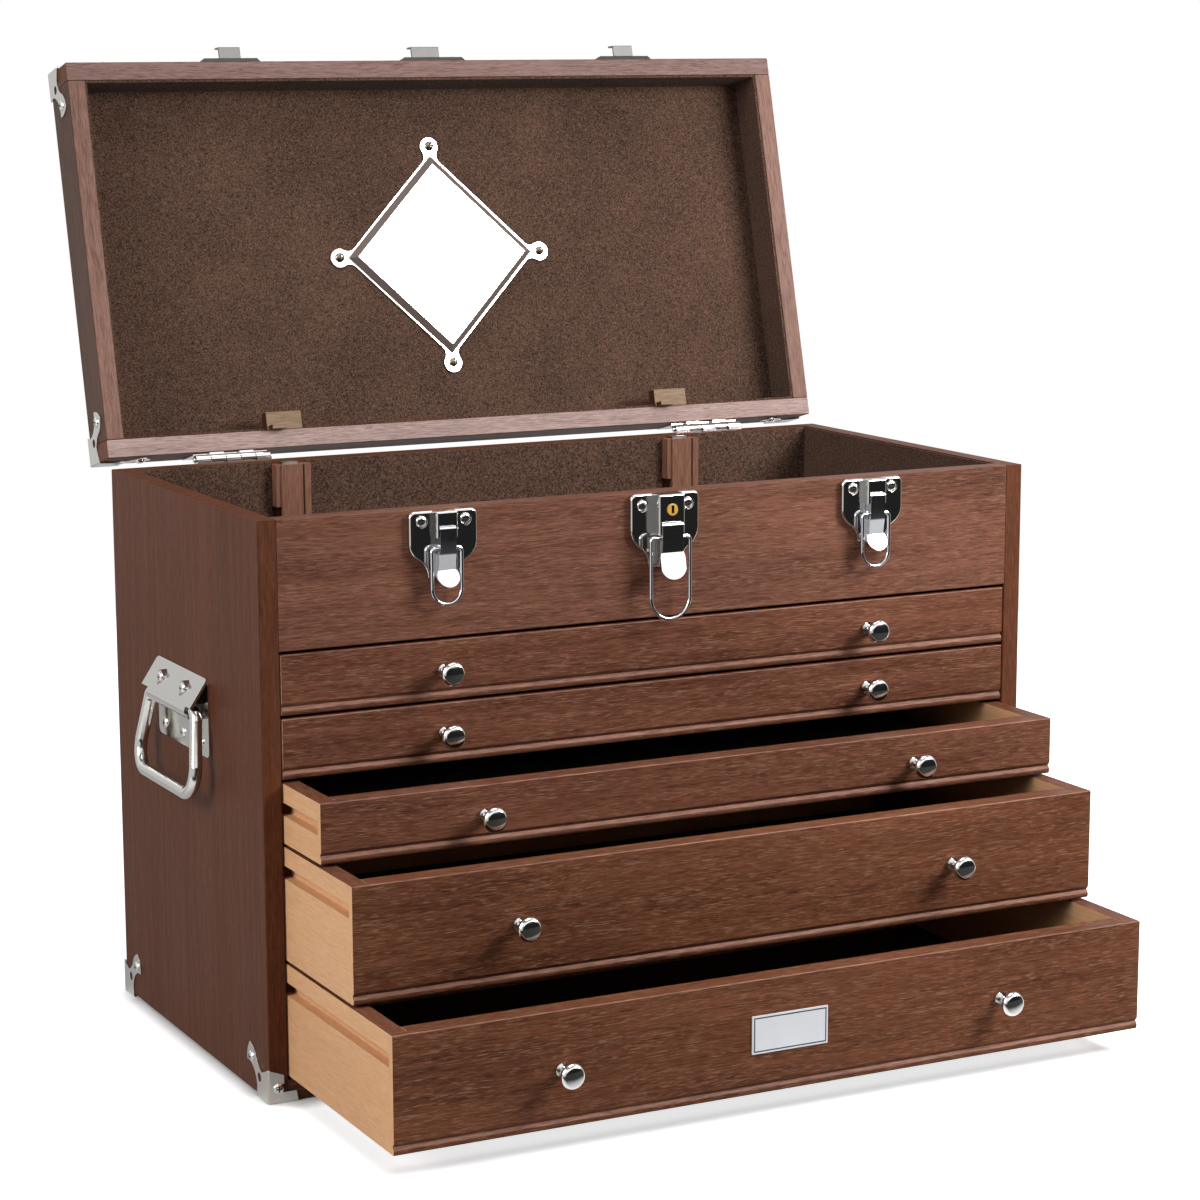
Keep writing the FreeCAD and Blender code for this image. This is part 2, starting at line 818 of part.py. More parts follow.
def make_lid_boards():
    inner_front = front_face + lid_wall
    inner_back = back_face - lid_wall
    zs = (lid_bottom, lid_top)
    front = box("lid_front_board", (-half_width, half_width), (front_face, inner_front), zs)
    on_lid("lid_front_wall", eased("lid_front_eased", front,
                                   lambda e: near(e.CenterOfMass.y, front_face), ease))
    back = box("lid_back_board", (-half_width, half_width), (inner_back, back_face), zs)
    on_lid("lid_back_wall", eased("lid_back_eased", back,
                                  lambda e: near(e.CenterOfMass.y, back_face), ease))
    sides = []
    for side, xs, outer in (("left", (-half_width, -(half_width - lid_wall)), -half_width),
                            ("right", (half_width - lid_wall, half_width), half_width)):
        board = box("lid_side_board_" + side, xs, (inner_front, inner_back), zs)
        sides.append(eased("lid_side_eased_" + side, board,
                           lambda e: along(e, 1) and near(e.CenterOfMass.x, outer), ease))
    on_lid("lid_side_walls", group("lid_sides", sides))
    reach = half_width - lid_wall
    on_lid("lid_top_panel", group("lid_panel", [
        box("lid_panel_board", (-reach, reach), (inner_front, inner_back), (panel_under, lid_top))]))

    felt = size("felt_thickness")
    outer = box("lid_felt_outer", (-reach, reach), (inner_front, inner_back),
                (lid_bottom + size("felt_margin"), panel_under))
    inner = box("lid_felt_inner", (-reach + felt, reach - felt), (inner_front + felt, inner_back - felt),
                (lid_bottom, panel_under - felt))
    block_half = size("block_width") / 2 + size("block_room")
    rooms = [inner]
    for side, middle in (("left", -lock_offset), ("right", lock_offset)):
        centre = middle + size("block_shift")
        rooms.append(box("lid_felt_room_" + side, (centre - block_half, centre + block_half),
                         (inner_back - felt * 2, inner_back),
                         (lid_bottom, lid_bottom + size("block_height") + size("block_room"))))
    on_lid("lid_lining", cut("lid_felt_tray", outer, fuse("lid_felt_rooms", rooms)))


# Diamond mirror in its screwed bezel, on the felt of the lid
def diamond(half):
    return [(half, 0), (0, half), (-half, 0), (0, -half)]


def make_mirror():
    felt_face = panel_under - size("felt_thickness")
    glass = extrusion("glass", "xy", diamond(size("mirror_half_diagonal")), size("mirror_thickness"),
                      offset=felt_face - size("mirror_thickness"))
    on_lid("mirror_glass", group("glass_plate", [glass]))

    # Bezel: a flat flange with four ears, and a rim that slopes up to a lip over the glass
    sheet_gauge = size("bezel_sheet")
    rise = size("bezel_thickness")
    flange_low = felt_face - sheet_gauge
    rim_low = felt_face - rise
    flange = extrusion("bezel_flange", "xy", diamond(size("bezel_half_diagonal")), sheet_gauge,
                       offset=flange_low)
    ear = size("ear_offset")
    ears = []
    for x, y in ((ear, 0), (-ear, 0), (0, ear), (0, -ear)):
        centre = (as_size(x), as_size(y), flange_low)
        ears.append(cylinder("bezel_ear", size("ear_radius"), sheet_gauge, centre, "z"))
    necked = eased("bezel_necked", fuse("bezel_eared", [flange] + ears), ear_corner, size("bezel_neck"))
    rim = extrusion("bezel_rim", "xy", diamond(size("rim_half_diagonal")), rise - sheet_gauge / 2,
                    offset=rim_low, taper=size("rim_slope"))
    window = extrusion("bezel_window", "xy", diamond(size("window_half_diagonal")), rise, offset=rim_low)
    seat = extrusion("bezel_seat", "xy", diamond(size("mirror_half_diagonal")), size("mirror_thickness"),
                     offset=felt_face - size("mirror_thickness"))
    on_lid("mirror_bezel", cut("bezel_frame", fuse("bezel_blank", [necked, rim]),
                               fuse("bezel_rooms", [window, seat])))


def ear_corner(edge):
    """Whether an edge is an inner corner between an ear and the diamond."""
    return along(edge, 2) and math.hypot(edge.CenterOfMass.x, edge.CenterOfMass.y) < size(
        "bezel_half_diagonal").number and edge.CenterOfMass.x * edge.CenterOfMass.y != 0


# Hinges: five knuckles each, three on the case and two on the lid
def make_hinges():
    radius = size("knuckle_radius")
    pin = size("pin_radius")
    play = size("pin_play")
    gap = size("knuckle_gap")
    length = size("hinge_length")
    thickness = size("leaf_thickness")
    leaf = size("leaf_height")
    pitch = length / 5
    case_leaves = []
    lid_leaves = []
    pins = []
    for side, middle in (("left", -hinge_offset), ("right", hinge_offset)):
        start = middle - length / 2
        bore = cylinder("bore_" + side, pin + play, length, (start, hinge_y, hinge_z), "x")
        ys = (back_face, back_face + thickness)
        parts = {"case": [], "lid": []}
        for index in range(5):
            low = start + pitch * index + gap / 2
            high = start + pitch * (index + 1) - gap / 2
            owner = "case" if index % 2 == 0 else "lid"
            tube = cylinder("knuckle_%s_%d" % (side, index), radius, high - low,
                            (low, hinge_y, hinge_z), "x")
            zs = (hinge_z - radius, hinge_z) if owner == "case" else (hinge_z, hinge_z + radius)
            neck = box("neck_%s_%d" % (side, index), (low, high), (back_face, hinge_y), zs)
            parts[owner] += [tube, neck]
        xs = (start, start + length)
        case_plate = box("case_leaf_" + side, xs, ys, (hinge_z - radius - leaf, hinge_z - radius))
        lid_plate = box("lid_leaf_" + side, xs, ys, (hinge_z + radius, hinge_z + radius + leaf))
        case_leaves.append(cut("case_leaf_bored_" + side,
                               fuse("case_leaf_body_" + side, parts["case"] + [case_plate]), bore))
        lid_leaves.append(cut("lid_leaf_bored_" + side,
                              fuse("lid_leaf_body_" + side, parts["lid"] + [lid_plate]), bore))
        head = size("pin_head")
        pins.append(cylinder("pin_" + side, pin, length + head * 2,
                             (start - head, hinge_y, hinge_z), "x"))
    keep("hinge_case_leaves", group("case_leaves", case_leaves))
    on_lid("hinge_lid_leaves", group("lid_leaves", lid_leaves))
    keep("hinge_pins", group("pins", pins))


# Corner guards: a bent sheet on three faces, cut to leaf-shaped arms
def leaf_outline():
    """Arm of a guard on one face, as (along the edge, up from the corner)."""
    tip = (size("leaf_tip_along"), size("leaf_tip_up"))
    centre = (size("leaf_screw_along"), size("leaf_screw_up"))
    half = size("leaf_half_width")
    bend = size("leaf_side_radius")
    foot = size("guard_foot_length")
    rise = size("guard_arris_height")
    return [(-guard_sheet, -guard_sheet), (foot, -guard_sheet), (foot - guard_sheet, size("guard_foot_height")),
            (centre[0] + half, centre[1] - half / 2, -bend),
            (tip[0], tip[1], bend),
            (centre[0] - half, centre[1] + half / 2, bend),
            (size("guard_arris_width"), rise * 0.8, -bend),
            (-guard_sheet, rise)]


def foot_outline():
    """Trimmed arm on the front, where the drawer opening is close by."""
    foot = size("guard_foot_length")
    rise = size("guard_arris_height")
    return [(-guard_sheet, -guard_sheet), (foot, -guard_sheet), (foot - guard_sheet, size("guard_foot_height")),
            (size("guard_notch_in"), size("guard_foot_height")),
            (size("guard_notch_in"), size("guard_notch_top")),
            (size("guard_arris_width"), size("guard_notch_top")),
            (size("guard_arris_width"), rise * 0.8),
            (-guard_sheet, rise)]


def guard_solid(name, on_y_face, with_two_leaves):
    """One guard for the corner at the origin, with the wood towards +x, +y and +z."""
    foot = size("guard_foot_length")
    sole = size("guard_sole_width")
    arms = [
        extrusion(name + "_arm_x", "yz", leaf_outline(), guard_sheet, offset=-guard_sheet),
        extrusion(name + "_arm_y", "xz", on_y_face, guard_sheet),
        extrusion(name + "_sole", "xy", [
            (-guard_sheet, -guard_sheet), (sole, -guard_sheet), (sole, sole / 2),
            (-guard_sheet, foot)], guard_sheet, offset=-guard_sheet)]
    rounded = eased(name + "_rounded", fuse(name + "_arms", arms), guard_arris, size("guard_ease"))
    side = size("guard_eye_along")
    up = size("guard_eye_up")
    radius = size("guard_eye_radius")
    pierced = cut(name + "_pierced_x", rounded,
                  cylinder(name + "_eye_x", radius, guard_sheet, (-guard_sheet, side, up), "x"))
    if not with_two_leaves:
        return pierced
    return cut(name + "_pierced_y", pierced,
               cylinder(name + "_eye_y", radius, guard_sheet, (side, -guard_sheet, up), "y"))


def guard_arris(edge):
    """Whether an edge is one of the three outer edges that meet in a guard's corner."""
    planes = [axis for axis in (0, 1, 2) if lies_on(edge, axis, -guard_sheet)]
    return len(planes) == 2


def make_guards():
    case_front = group("case_front_guard", [guard_solid("guard_a", foot_outline(), False)])
    place(case_front, -half_width, front_face, case_bottom)
    case_back = group("case_back_guard", [guard_solid("guard_b", leaf_outline(), True)])
    flipped = mirrored("case_back_flip", case_back, FreeCAD.Vector(0, 1, 0))
    place(case_back, -half_width, -back_face, case_bottom)
    left = [case_front, flipped]
    right = [mirrored("case_guard_right", item, FreeCAD.Vector(1, 0, 0)) for item in left]
    keep("case_corner_guards", group("case_guards", left + right))

    lid_guard = group("lid_guard", [guard_solid("guard_c", leaf_outline(), True)])
    upside = mirrored("lid_guard_up", lid_guard, FreeCAD.Vector(0, 0, 1))
    corner = group("lid_guard_corner", [upside])
    place(corner, -half_width, front_face, lid_top)
    back = mirrored("lid_guard_back", corner, FreeCAD.Vector(0, 1, 0))
    left = [corner, back]
    right = [mirrored("lid_guard_right", item, FreeCAD.Vector(1, 0, 0)) for item in left]
    on_lid("lid_corner_guards", group("lid_guards", left + right))


# Draw latches. Their screws join those of the case and of the lid.
case_screws = []
lid_screws = []
strikes = []


def from_top(value):
    """A height given as a drop below the case's top edge."""
    return case_top - value


def out(value):
    """A place in front of the case's front face."""
    return front_face - value


def make_latch(name, family, middle):
    def s(key):
        return size(family + "_" + key)

    def shared(key):
        return size("latch_" + key)

    # Plate: a pressed pan, a raised box for the lever, and the lever's pin
    half = s("plate_width") / 2
    foot = s("plate_foot_width") / 2
    corner = shared("plate_corner")
    step = (half - foot) / 2
    fall = (s("plate_foot") - s("plate_shoulder")) / 2
    bend = (step * step + fall * fall) / (step * 2)
    waist_drop = s("plate_shoulder") + fall
    pan = extrusion(name + "_pan", "xz", [
        (middle - half, from_top(s("plate_top") + corner), corner),
        (middle - half, from_top(s("plate_shoulder"))),
        (middle - half + step, from_top(waist_drop), bend),
        (middle - foot, from_top(s("plate_foot")), -bend),
        (middle + foot, from_top(s("plate_foot"))),
        (middle + half - step, from_top(waist_drop), -bend),
        (middle + half, from_top(s("plate_shoulder")), bend),
        (middle + half, from_top(s("plate_top") + corner)),
        (middle + half - corner, from_top(s("plate_top")), corner),
        (middle - half + corner, from_top(s("plate_top")))],
        s("plate_rise"), offset=-front_face)
    pan_front = out(s("plate_rise"))
    pan = eased(name + "_pan_eased", pan, lambda e: lies_on(e, 1, pan_front), shared("plate_ease"))
    box_half = s("box_width") / 2
    box_out = s("plate_rise") + s("box_rise")
    raised = box(name + "_box", (middle - box_half, middle + box_half), (out(box_out), front_face),
                 (from_top(s("box_foot")), from_top(s("plate_top"))))
    box_front = out(box_out)
    raised = eased(name + "_box_eased", raised,
                   lambda e: lies_on(e, 1, box_front) and not near(e.CenterOfMass.z, from_top(s("box_foot"))),
                   shared("plate_ease"))
    slot_half = s("lever_width") / 2 + shared("slot_play")
    pivot_z = from_top(s("pivot_drop"))
    pivot_y = out(s("pivot_out"))
    roll = s("roll_radius")
    slot_top = pivot_z + roll + shared("slot_play")
    slot = box(name + "_slot", (middle - slot_half, middle + slot_half),
               (out(box_out + shared("sheet")), out(s("plate_rise"))), (from_top(s("plate_foot")), slot_top))
    pin = cylinder(name + "_pin", shared("pin_radius"), s("box_width"),
                   (middle - box_half, pivot_y, pivot_z), "x")
    screw_y = out(s("plate_rise") - shared("dish_depth"))
    screw_z = from_top(s("screw_drop"))
    tools = [slot]
    for side in (-1, 1):
        screw_x = middle + s("screw_spacing") / 2 * side
        tools.append(cylinder(name + "_dish", shared("dish_radius"), shared("dish_depth"),
                              (screw_x, screw_y, screw_z), "-y"))
        case_screws.append(screw(name + "_plate_screw", (screw_x, screw_y, screw_z), "-y"))
    body = cut(name + "_plate_cut", fuse(name + "_plate_blank", [pan, raised]),
               fuse(name + "_plate_rooms", tools))
    pieces = [body, pin]
    make_strike(name, family, middle)
    if family == "lock":
        plug_z = from_top(shared("plug_drop"))
        bore = cylinder(name + "_plug_bore", shared("plug_radius") + shared("plug_play"),
                        shared("plug_depth") + shared("plug_play"),
                        (middle, out(box_out - shared("plug_depth") - shared("plug_play")), plug_z), "-y")
        pieces = [cut(name + "_plate_bored", body, bore), pin]
        plug = cylinder(name + "_plug", shared("plug_radius"), shared("plug_depth") + shared("plug_proud"),
                        (middle, out(box_out - shared("plug_depth")), plug_z), "-y")
        keyway = box(name + "_keyway",
                     (middle - shared("keyway_width") / 2, middle + shared("keyway_width") / 2),
                     (out(box_out + shared("keyway_depth")), out(box_out - shared("keyway_depth"))),
                     (plug_z - shared("keyway_length") / 2, plug_z + shared("keyway_length") / 2))
        keep("lock_plug", cut(name + "_plug_cut", plug, keyway))
    keep("latch_plate_" + name, fuse(name + "_plate_body", pieces))

    # Lever: a roll round the pin, a folded web with two side walls, and a rounded thumb tab
    lever_half = s("lever_width") / 2
    sheet_gauge = shared("sheet")
    web_out = s("pivot_out") + roll
    bend_z = from_top(s("lever_bend"))
    waist_z = from_top(s("lever_waist"))
    waist_out = web_out - s("lever_waist_in")
    web = extrusion(name + "_web", "yz", [
        (out(web_out), pivot_z),
        (out(web_out), bend_z),
        (out(waist_out), waist_z),
        (out(waist_out), waist_z - sheet_gauge),
        (out(waist_out - sheet_gauge), waist_z - sheet_gauge),
        (out(waist_out - sheet_gauge), waist_z),
        (out(web_out - sheet_gauge), bend_z),
        (out(web_out - sheet_gauge), pivot_z)],
        lever_half * 2, offset=middle - lever_half)
    wall_foot = from_top(s("lever_wall_foot"))
    inner = out(s("plate_rise") + shared("slot_play"))
    wall_points = [
        (out(web_out - sheet_gauge / 2), pivot_z),
        (out(web_out - sheet_gauge / 2), bend_z),
        (out(waist_out - sheet_gauge / 2), waist_z),
        (out(waist_out - sheet_gauge / 2), wall_foot),
        (inner, wall_foot),
        (inner, pivot_z - roll),
        (out(s("pivot_out") - sheet_gauge), pivot_z)]
    walls = [extrusion(name + "_wall_left", "yz", wall_points, sheet_gauge, offset=middle - lever_half),
             extrusion(name + "_wall_right", "yz", wall_points, sheet_gauge,
                       offset=middle + lever_half - sheet_gauge)]
    barrel = cylinder(name + "_roll", roll, lever_half * 2, (middle - lever_half, pivot_y, pivot_z), "x")
    tab_foot = from_top(s("tab_foot"))
    tab_sweep = extrusion(name + "_tab_sweep", "yz", [
        (out(waist_out), waist_z),
        (out(s("tab_out")), tab_foot),
        (out(s("tab_out") - sheet_gauge), tab_foot),
        (out(waist_out - sheet_gauge), waist_z - sheet_gauge)],
        s("tab_width"), offset=middle - s("tab_width") / 2)
    tab_half = s("tab_width") / 2
    tab_mask = extrusion(name + "_tab_mask", "xz", [
        (middle - lever_half, waist_z + sheet_gauge),
        (middle - tab_half, waist_z - sheet_gauge * 2),
        (middle - tab_half, tab_foot + tab_half * 0.7),
        (middle, tab_foot, tab_half * 1.02),
        (middle + tab_half, tab_foot + tab_half * 0.7, tab_half * 1.02),
        (middle + tab_half, waist_z - sheet_gauge * 2),
        (middle + lever_half, waist_z + sheet_gauge)],
        s("tab_out") + sheet_gauge, offset=-front_face)
    tab = common(name + "_tab", tab_sweep, tab_mask)
    bail_z = from_top(s("bail_drop"))
    bail_y = out(s("bail_out"))
    rooms = fuse(name + "_lever_bores", [
        cylinder(name + "_lever_bore", shared("pin_radius") + shared("pin_play"), lever_half * 2,
                 (middle - lever_half, pivot_y, pivot_z), "x"),
        cylinder(name + "_bail_bore", shared("wire_radius") + shared("wire_play"), lever_half * 2,
                 (middle - lever_half, bail_y, bail_z), "x")])
    keep("latch_lever_" + name, cut(name + "_lever_body",
                                    fuse(name + "_lever_blank", [web, barrel, tab] + walls), rooms))

    # Bail: a wire loop whose ends turn in through the lever's walls
    wire_loop(name, middle, s("bail_half_width"), s("bail_length"), bail_y, bail_z,
              lever_half - sheet_gauge - shared("wire_end_gap"))


def wire_loop(name, middle, half, length, y, z, end_in):
    """A wire from inside one lever wall, down, round a half circle and back up."""
    r = size("latch_wire_radius").number
    mid, half_x, drop, end = middle.number, half.number, length.number, end_in.number
    yy, zz = y.number, z.number
    bend = 2 * r
    arc_z = zz - drop + half_x
    v = FreeCAD.Vector

    def corner(sign):
        a = v(mid + sign * (half_x - bend), yy, zz)
        b = v(mid + sign * half_x, yy, zz - bend)
        m = v(mid + sign * (half_x - bend + bend * math.sin(math.pi / 4)), yy,
              zz - bend + bend * math.cos(math.pi / 4))
        return a, m, b

    a1, m1, b1 = corner(-1)
    a2, m2, b2 = corner(1)
    path = Part.Wire([
        Part.LineSegment(v(mid - end, yy, zz), a1).toShape(),
        Part.Arc(a1, m1, b1).toShape(),
        Part.LineSegment(b1, v(mid - half_x, yy, arc_z)).toShape(),
        Part.Arc(v(mid - half_x, yy, arc_z), v(mid, yy, arc_z - half_x), v(mid + half_x, yy, arc_z)).toShape(),
        Part.LineSegment(v(mid + half_x, yy, arc_z), b2).toShape(),
        Part.Arc(b2, m2, a2).toShape(),
        Part.LineSegment(a2, v(mid + end, yy, zz)).toShape()])
    section = Part.Wire([Part.Circle(v(mid - end, yy, zz), v(1, 0, 0), r).toShape()])
    solid = path.makePipeShell([section], True, False)
    feature = add("Part::Feature", name + "_bail_wire")
    feature.Shape = solid
    keep("latch_bail_" + name, feature)


def make_strike(name, family, middle):
    """The lid's half of a latch: a pressed plate with an upward hook."""
    def s(key):
        return size(family + "_" + key)

    def shared(key):
        return size("latch_" + key)

    half = s("strike_width") / 2
    low = lid_bottom + shared("strike_start")
    top = low + shared("strike_height")
    rise = shared("strike_rise")
    plate = extrusion(name + "_strike_plate", "xz", [
        (middle - half, low), (middle + half, low), (middle + half, top), (middle - half, top)],
        rise, offset=-front_face, taper=-shared("strike_slope"))
    hook_half = s("hook_width") / 2
    gauge = shared("sheet")
    floor = case_top + s("hook_floor_up")
    hook = extrusion(name + "_strike_hook", "yz", [
        (out(rise), floor - gauge),
        (out(s("hook_out")), floor - gauge),
        (out(s("hook_out") + gauge), floor + shared("hook_lip")),
        (out(s("hook_out")), floor + shared("hook_lip")),
        (out(s("hook_out") - gauge), floor),
        (out(rise), floor)],
        hook_half * 2, offset=middle - hook_half)
    strikes.append(fuse(name + "_strike", [plate, hook]))
    screw_x = half - shared("strike_screw_inset")
    for side in (-1, 1):
        lid_screws.append(screw(name + "_strike_screw", (middle + screw_x * side, out(rise),
                                                         lid_bottom + shared("strike_screw_up")), "-y"))


def make_latches():
    make_latch("left", "outer", -size("outer_offset"))
    make_latch("centre", "lock", size("lock_middle"))
    make_latch("right", "outer", size("outer_offset"))
    on_lid("lid_strikes", group("strike_set", strikes))


# Side handles, drawn on the right and mirrored to the left
handle_z = case_bottom + size("handle_height")
handle_x = half_width + size("handle_pivot_out")


def make_handle_plate():
    wall = half_width
    gauge = size("handle_sheet")
    plate_half = size("handle_plate_width") / 2
    plate = box("handle_back", (wall, wall + gauge), (-plate_half, plate_half),
                (handle_z - size("handle_plate_down"), handle_z + size("handle_plate_up")))
    hood_half = size("hood_width") / 2
    front = wall + size("hood_front_out")
    top = handle_z + size("handle_plate_up")
    brow = handle_z + size("hood_front_up")
    hood = extrusion("handle_hood", "xz", [
        (wall, top), (wall, top - gauge * 2), (wall + gauge, top - gauge * 2),
        (front - gauge, brow - gauge / 2), (front, brow), (wall + gauge, top)],
        hood_half * 2, offset=-hood_half)
    roll_half = size("roll_width") / 2
    roll_radius = size("rod_radius") + size("rod_play") + size("roll_sheet")
    roll = cylinder("handle_roll", roll_radius, roll_half * 2, (handle_x, -roll_half, handle_z), "y")
    web = box("handle_web", (wall, handle_x), (-roll_half, roll_half),
              (handle_z - roll_radius, handle_z + size("rod_radius")))
    bore = cylinder("handle_bore", size("rod_radius") + size("rod_play"), roll_half * 2,
                    (handle_x, -roll_half, handle_z), "y")
    pieces = [plate, hood, roll, web]
    tools = [bore]
    seat = wall + size("hood_dish_out")
    for side in (-1, 1):
        y = size("hood_screw_offset") * side
        z = handle_z + size("hood_screw_up")
        pieces.append(cylinder("hood_boss", size("hood_dish_radius"), seat - wall, (wall, y, z), "x"))
        tools.append(cylinder("hood_dish", size("hood_dish_radius"), front - seat, (seat, y, z), "x"))
        case_screws.extend(both_sides("hood_screw", seat, y, z, size("hood_screw_length")))
    for side in (-1, 0, 1):
        y = size("plate_screw_offset") * side
        case_screws.extend(both_sides("plate_screw", wall + gauge, y, handle_z - size("plate_screw_down"),
                                      size("screw_length")))
    blank = cut("handle_plate_bored", fuse("handle_plate_blank", pieces), fuse("handle_rooms", tools))
    corners = eased("handle_corners", box("handle_mask", (wall, front + roll_radius), (-plate_half, plate_half), (
        handle_z - size("handle_plate_down"), top)), lambda edge: along(edge, 0), size("handle_corner"))
    body = common("handle_plate_right", blank, corners)
    keep("handle_plates", group("handle_plate_pair", [
        body, mirrored("handle_plate_left", body, FreeCAD.Vector(1, 0, 0))]))


def both_sides(name, face, y, z, length):
    """A pair of screws on the handle plates."""
    return [screw(name, (face, y, z), "x", length), screw(name, (-face, y, z), "-x", length)]


def make_handle_bails():
    """Steel rings of round rod, hanging tilted away from the chest."""
    v = FreeCAD.Vector
    x, z = handle_x.number, handle_z.number
    tilt = math.radians(size("handle_tilt").number)
    lean = v(math.sin(tilt), 0, -math.cos(tilt))
    shoulder = size("bail_shoulder_half").number
    waist = size("bail_waist_half").number
    bend = size("bail_bend").number
    waist_down = size("bail_waist_down").number
    down = size("bail_down").number
    corner = size("bail_corner").number
    end = size("rod_end_gap").number

    def at(y, drop):
        return v(x, y, z) + lean * drop

    def quarter(first, centre, last):
        """An arc a quarter round from one place to another, about a centre."""
        mean = (first + last) / 2 - centre
        return Part.Arc(first, centre + mean.normalize() * (first - centre).Length, last).toShape()

    pieces = []
    for side in (-1, 1):
        inner = at((shoulder - bend) * side, 0)
        outer = at(shoulder * side, bend)
        knee = at(waist * side, waist_down)
        low = at(waist * side, down - corner)
        floor = at((waist - corner) * side, down)
        run = [
            Part.LineSegment(at(end * side, 0), inner).toShape(),
            quarter(inner, at((shoulder - bend) * side, bend), outer),
            Part.LineSegment(outer, knee).toShape(),
            Part.LineSegment(knee, low).toShape(),
            quarter(low, at((waist - corner) * side, down - corner), floor)]
        pieces.append(run)
    across = Part.LineSegment(at(-(waist - corner), down), at(waist - corner, down)).toShape()
    path = Part.Wire(pieces[0] + [across] + pieces[1][::-1])
    section = Part.Wire([Part.Circle(at(-end, 0), v(0, 1, 0), size("rod_radius").number).toShape()])
    ring = path.makePipeShell([section], True, False, 2)
    right = add("Part::Feature", "handle_ring_right")
    right.Shape = ring
    keep("handle_bail_right", right)
    keep("handle_bail_left", mirrored("handle_ring_left", right, v(1, 0, 0)))


# Wooden blocks in the lid that press the lock bars down
def make_lid_blocks():
    blocks = []
    half = size("block_width") / 2
    wall_face = back_face - lid_wall
    low = lid_bottom
    top = lid_bottom + size("block_height")
    slope = size("block_slope")
    for side, middle in (("left", -lock_offset), ("right", lock_offset)):
        left = middle + size("block_shift") - half
        right = middle + size("block_shift") + half
        wedge = extrusion("block_" + side, "xz", [
            (left, low), (right, low), (right, top), (left + slope, top), (left, top - slope)],
            size("block_depth"), offset=-wall_face)
        lip_half = size("block_lip_width") / 2
        lip = box("block_lip_" + side, (middle - lip_half, middle + lip_half),
                  (wall_face - size("block_lip_depth"), wall_face),
                  (case_top - size("bar_top_drop") - size("bar_travel") + size("block_push_gap"),
                   low + slope))
        blocks.append(fuse("block_body_" + side, [wedge, lip]))
    on_lid("lid_lock_blocks", group("lock_blocks", blocks))


# Screws in the guards, hinges and mirror
def make_screws():
    along_edge = size("leaf_screw_along")
    up = size("leaf_screw_up")
    face = guard_sheet
    for x_sign, x_turn in ((-1, "-x"), (1, "x")):
        side_x = (half_width + face) * x_sign
        leaf_x = (half_width - along_edge) * x_sign
        for y_sign, y_turn in ((-1, "-y"), (1, "y")):
            leaf_y = (back_face - along_edge) * y_sign
            face_y = (back_face + face) * y_sign
            case_screws.append(screw("case_side_screw", (side_x, leaf_y, case_bottom + up), x_turn))
            lid_screws.append(screw("lid_side_screw", (side_x, leaf_y, lid_top - up), x_turn))
            lid_screws.append(screw("lid_leaf_screw", (leaf_x, face_y, lid_top - up), y_turn))
        case_screws.append(screw("case_back_screw", (leaf_x, back_face + face, case_bottom + up), "y"))
        case_screws.append(screw("case_front_screw", (
            (half_width - size("guard_front_screw_in")) * x_sign, front_face - face,
            case_bottom + size("guard_front_screw_up")), "-y"))
        for step in (-1, 0, 1):
            x = (hinge_offset + size("hinge_screw_offset") * step) * x_sign
            y = back_face + size("leaf_thickness")
            case_screws.append(screw("case_hinge_screw",
                                     (x, y, hinge_z - size("hinge_screw_down")), "y"))
            lid_screws.append(screw("lid_hinge_screw",
                                    (x, y, hinge_z + size("hinge_screw_down")), "y"))
    bezel_face = panel_under - size("felt_thickness") - size("bezel_sheet")
    ear = size("ear_offset")
    for x, y in ((ear, 0), (-ear, 0), (0, ear), (0, -ear)):
        lid_screws.append(screw("mirror_screw", (as_size(x), as_size(y), bezel_face), "-z"))
    keep("case_screws", group("case_screw_set", case_screws))
    on_lid("lid_screws", group("lid_screw_set", lid_screws))


# Document check and export
def finish():
    doc.recompute()
    faults = []
    for obj in doc.Objects:
        if "Invalid" in obj.State or "Error" in obj.State:
            faults.append("%s %s" % (obj.Name, obj.State))
    for obj in nodes:
        if obj.Shape.isNull() or not obj.Shape.isValid() or not obj.Shape.Solids:
            faults.append("%s has no valid solid" % obj.Label)
    if faults:
        raise RuntimeError("; ".join(faults))
    os.makedirs("parts", exist_ok=True)
    for obj in nodes:
        obj.Shape.exportStep("parts/%s.step" % obj.Label)
        print("%-24s %2d solids %10.1f mm3" % (obj.Label, len(obj.Shape.Solids), obj.Shape.Volume))
    print("%d nodes" % len(nodes))


make_case_boards()
make_runners()
make_till()
make_lock_posts()
make_lock_bars()
for drawer_number in (1, 2, 3, 4, 5):
    make_drawer(drawer_number)
make_lid_boards()
make_mirror()
make_hinges()
make_guards()
make_latches()
make_handle_plate()
make_handle_bails()
make_lid_blocks()
make_screws()
finish()
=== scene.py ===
"""Looks of a wooden tool chest: stained oak, felt, bright hardware and a plain studio."""

import json
import math

import bmesh
import bpy
import numpy as np
from bpy.props import FloatProperty, FloatVectorProperty, PointerProperty
from mathutils import Matrix, Vector


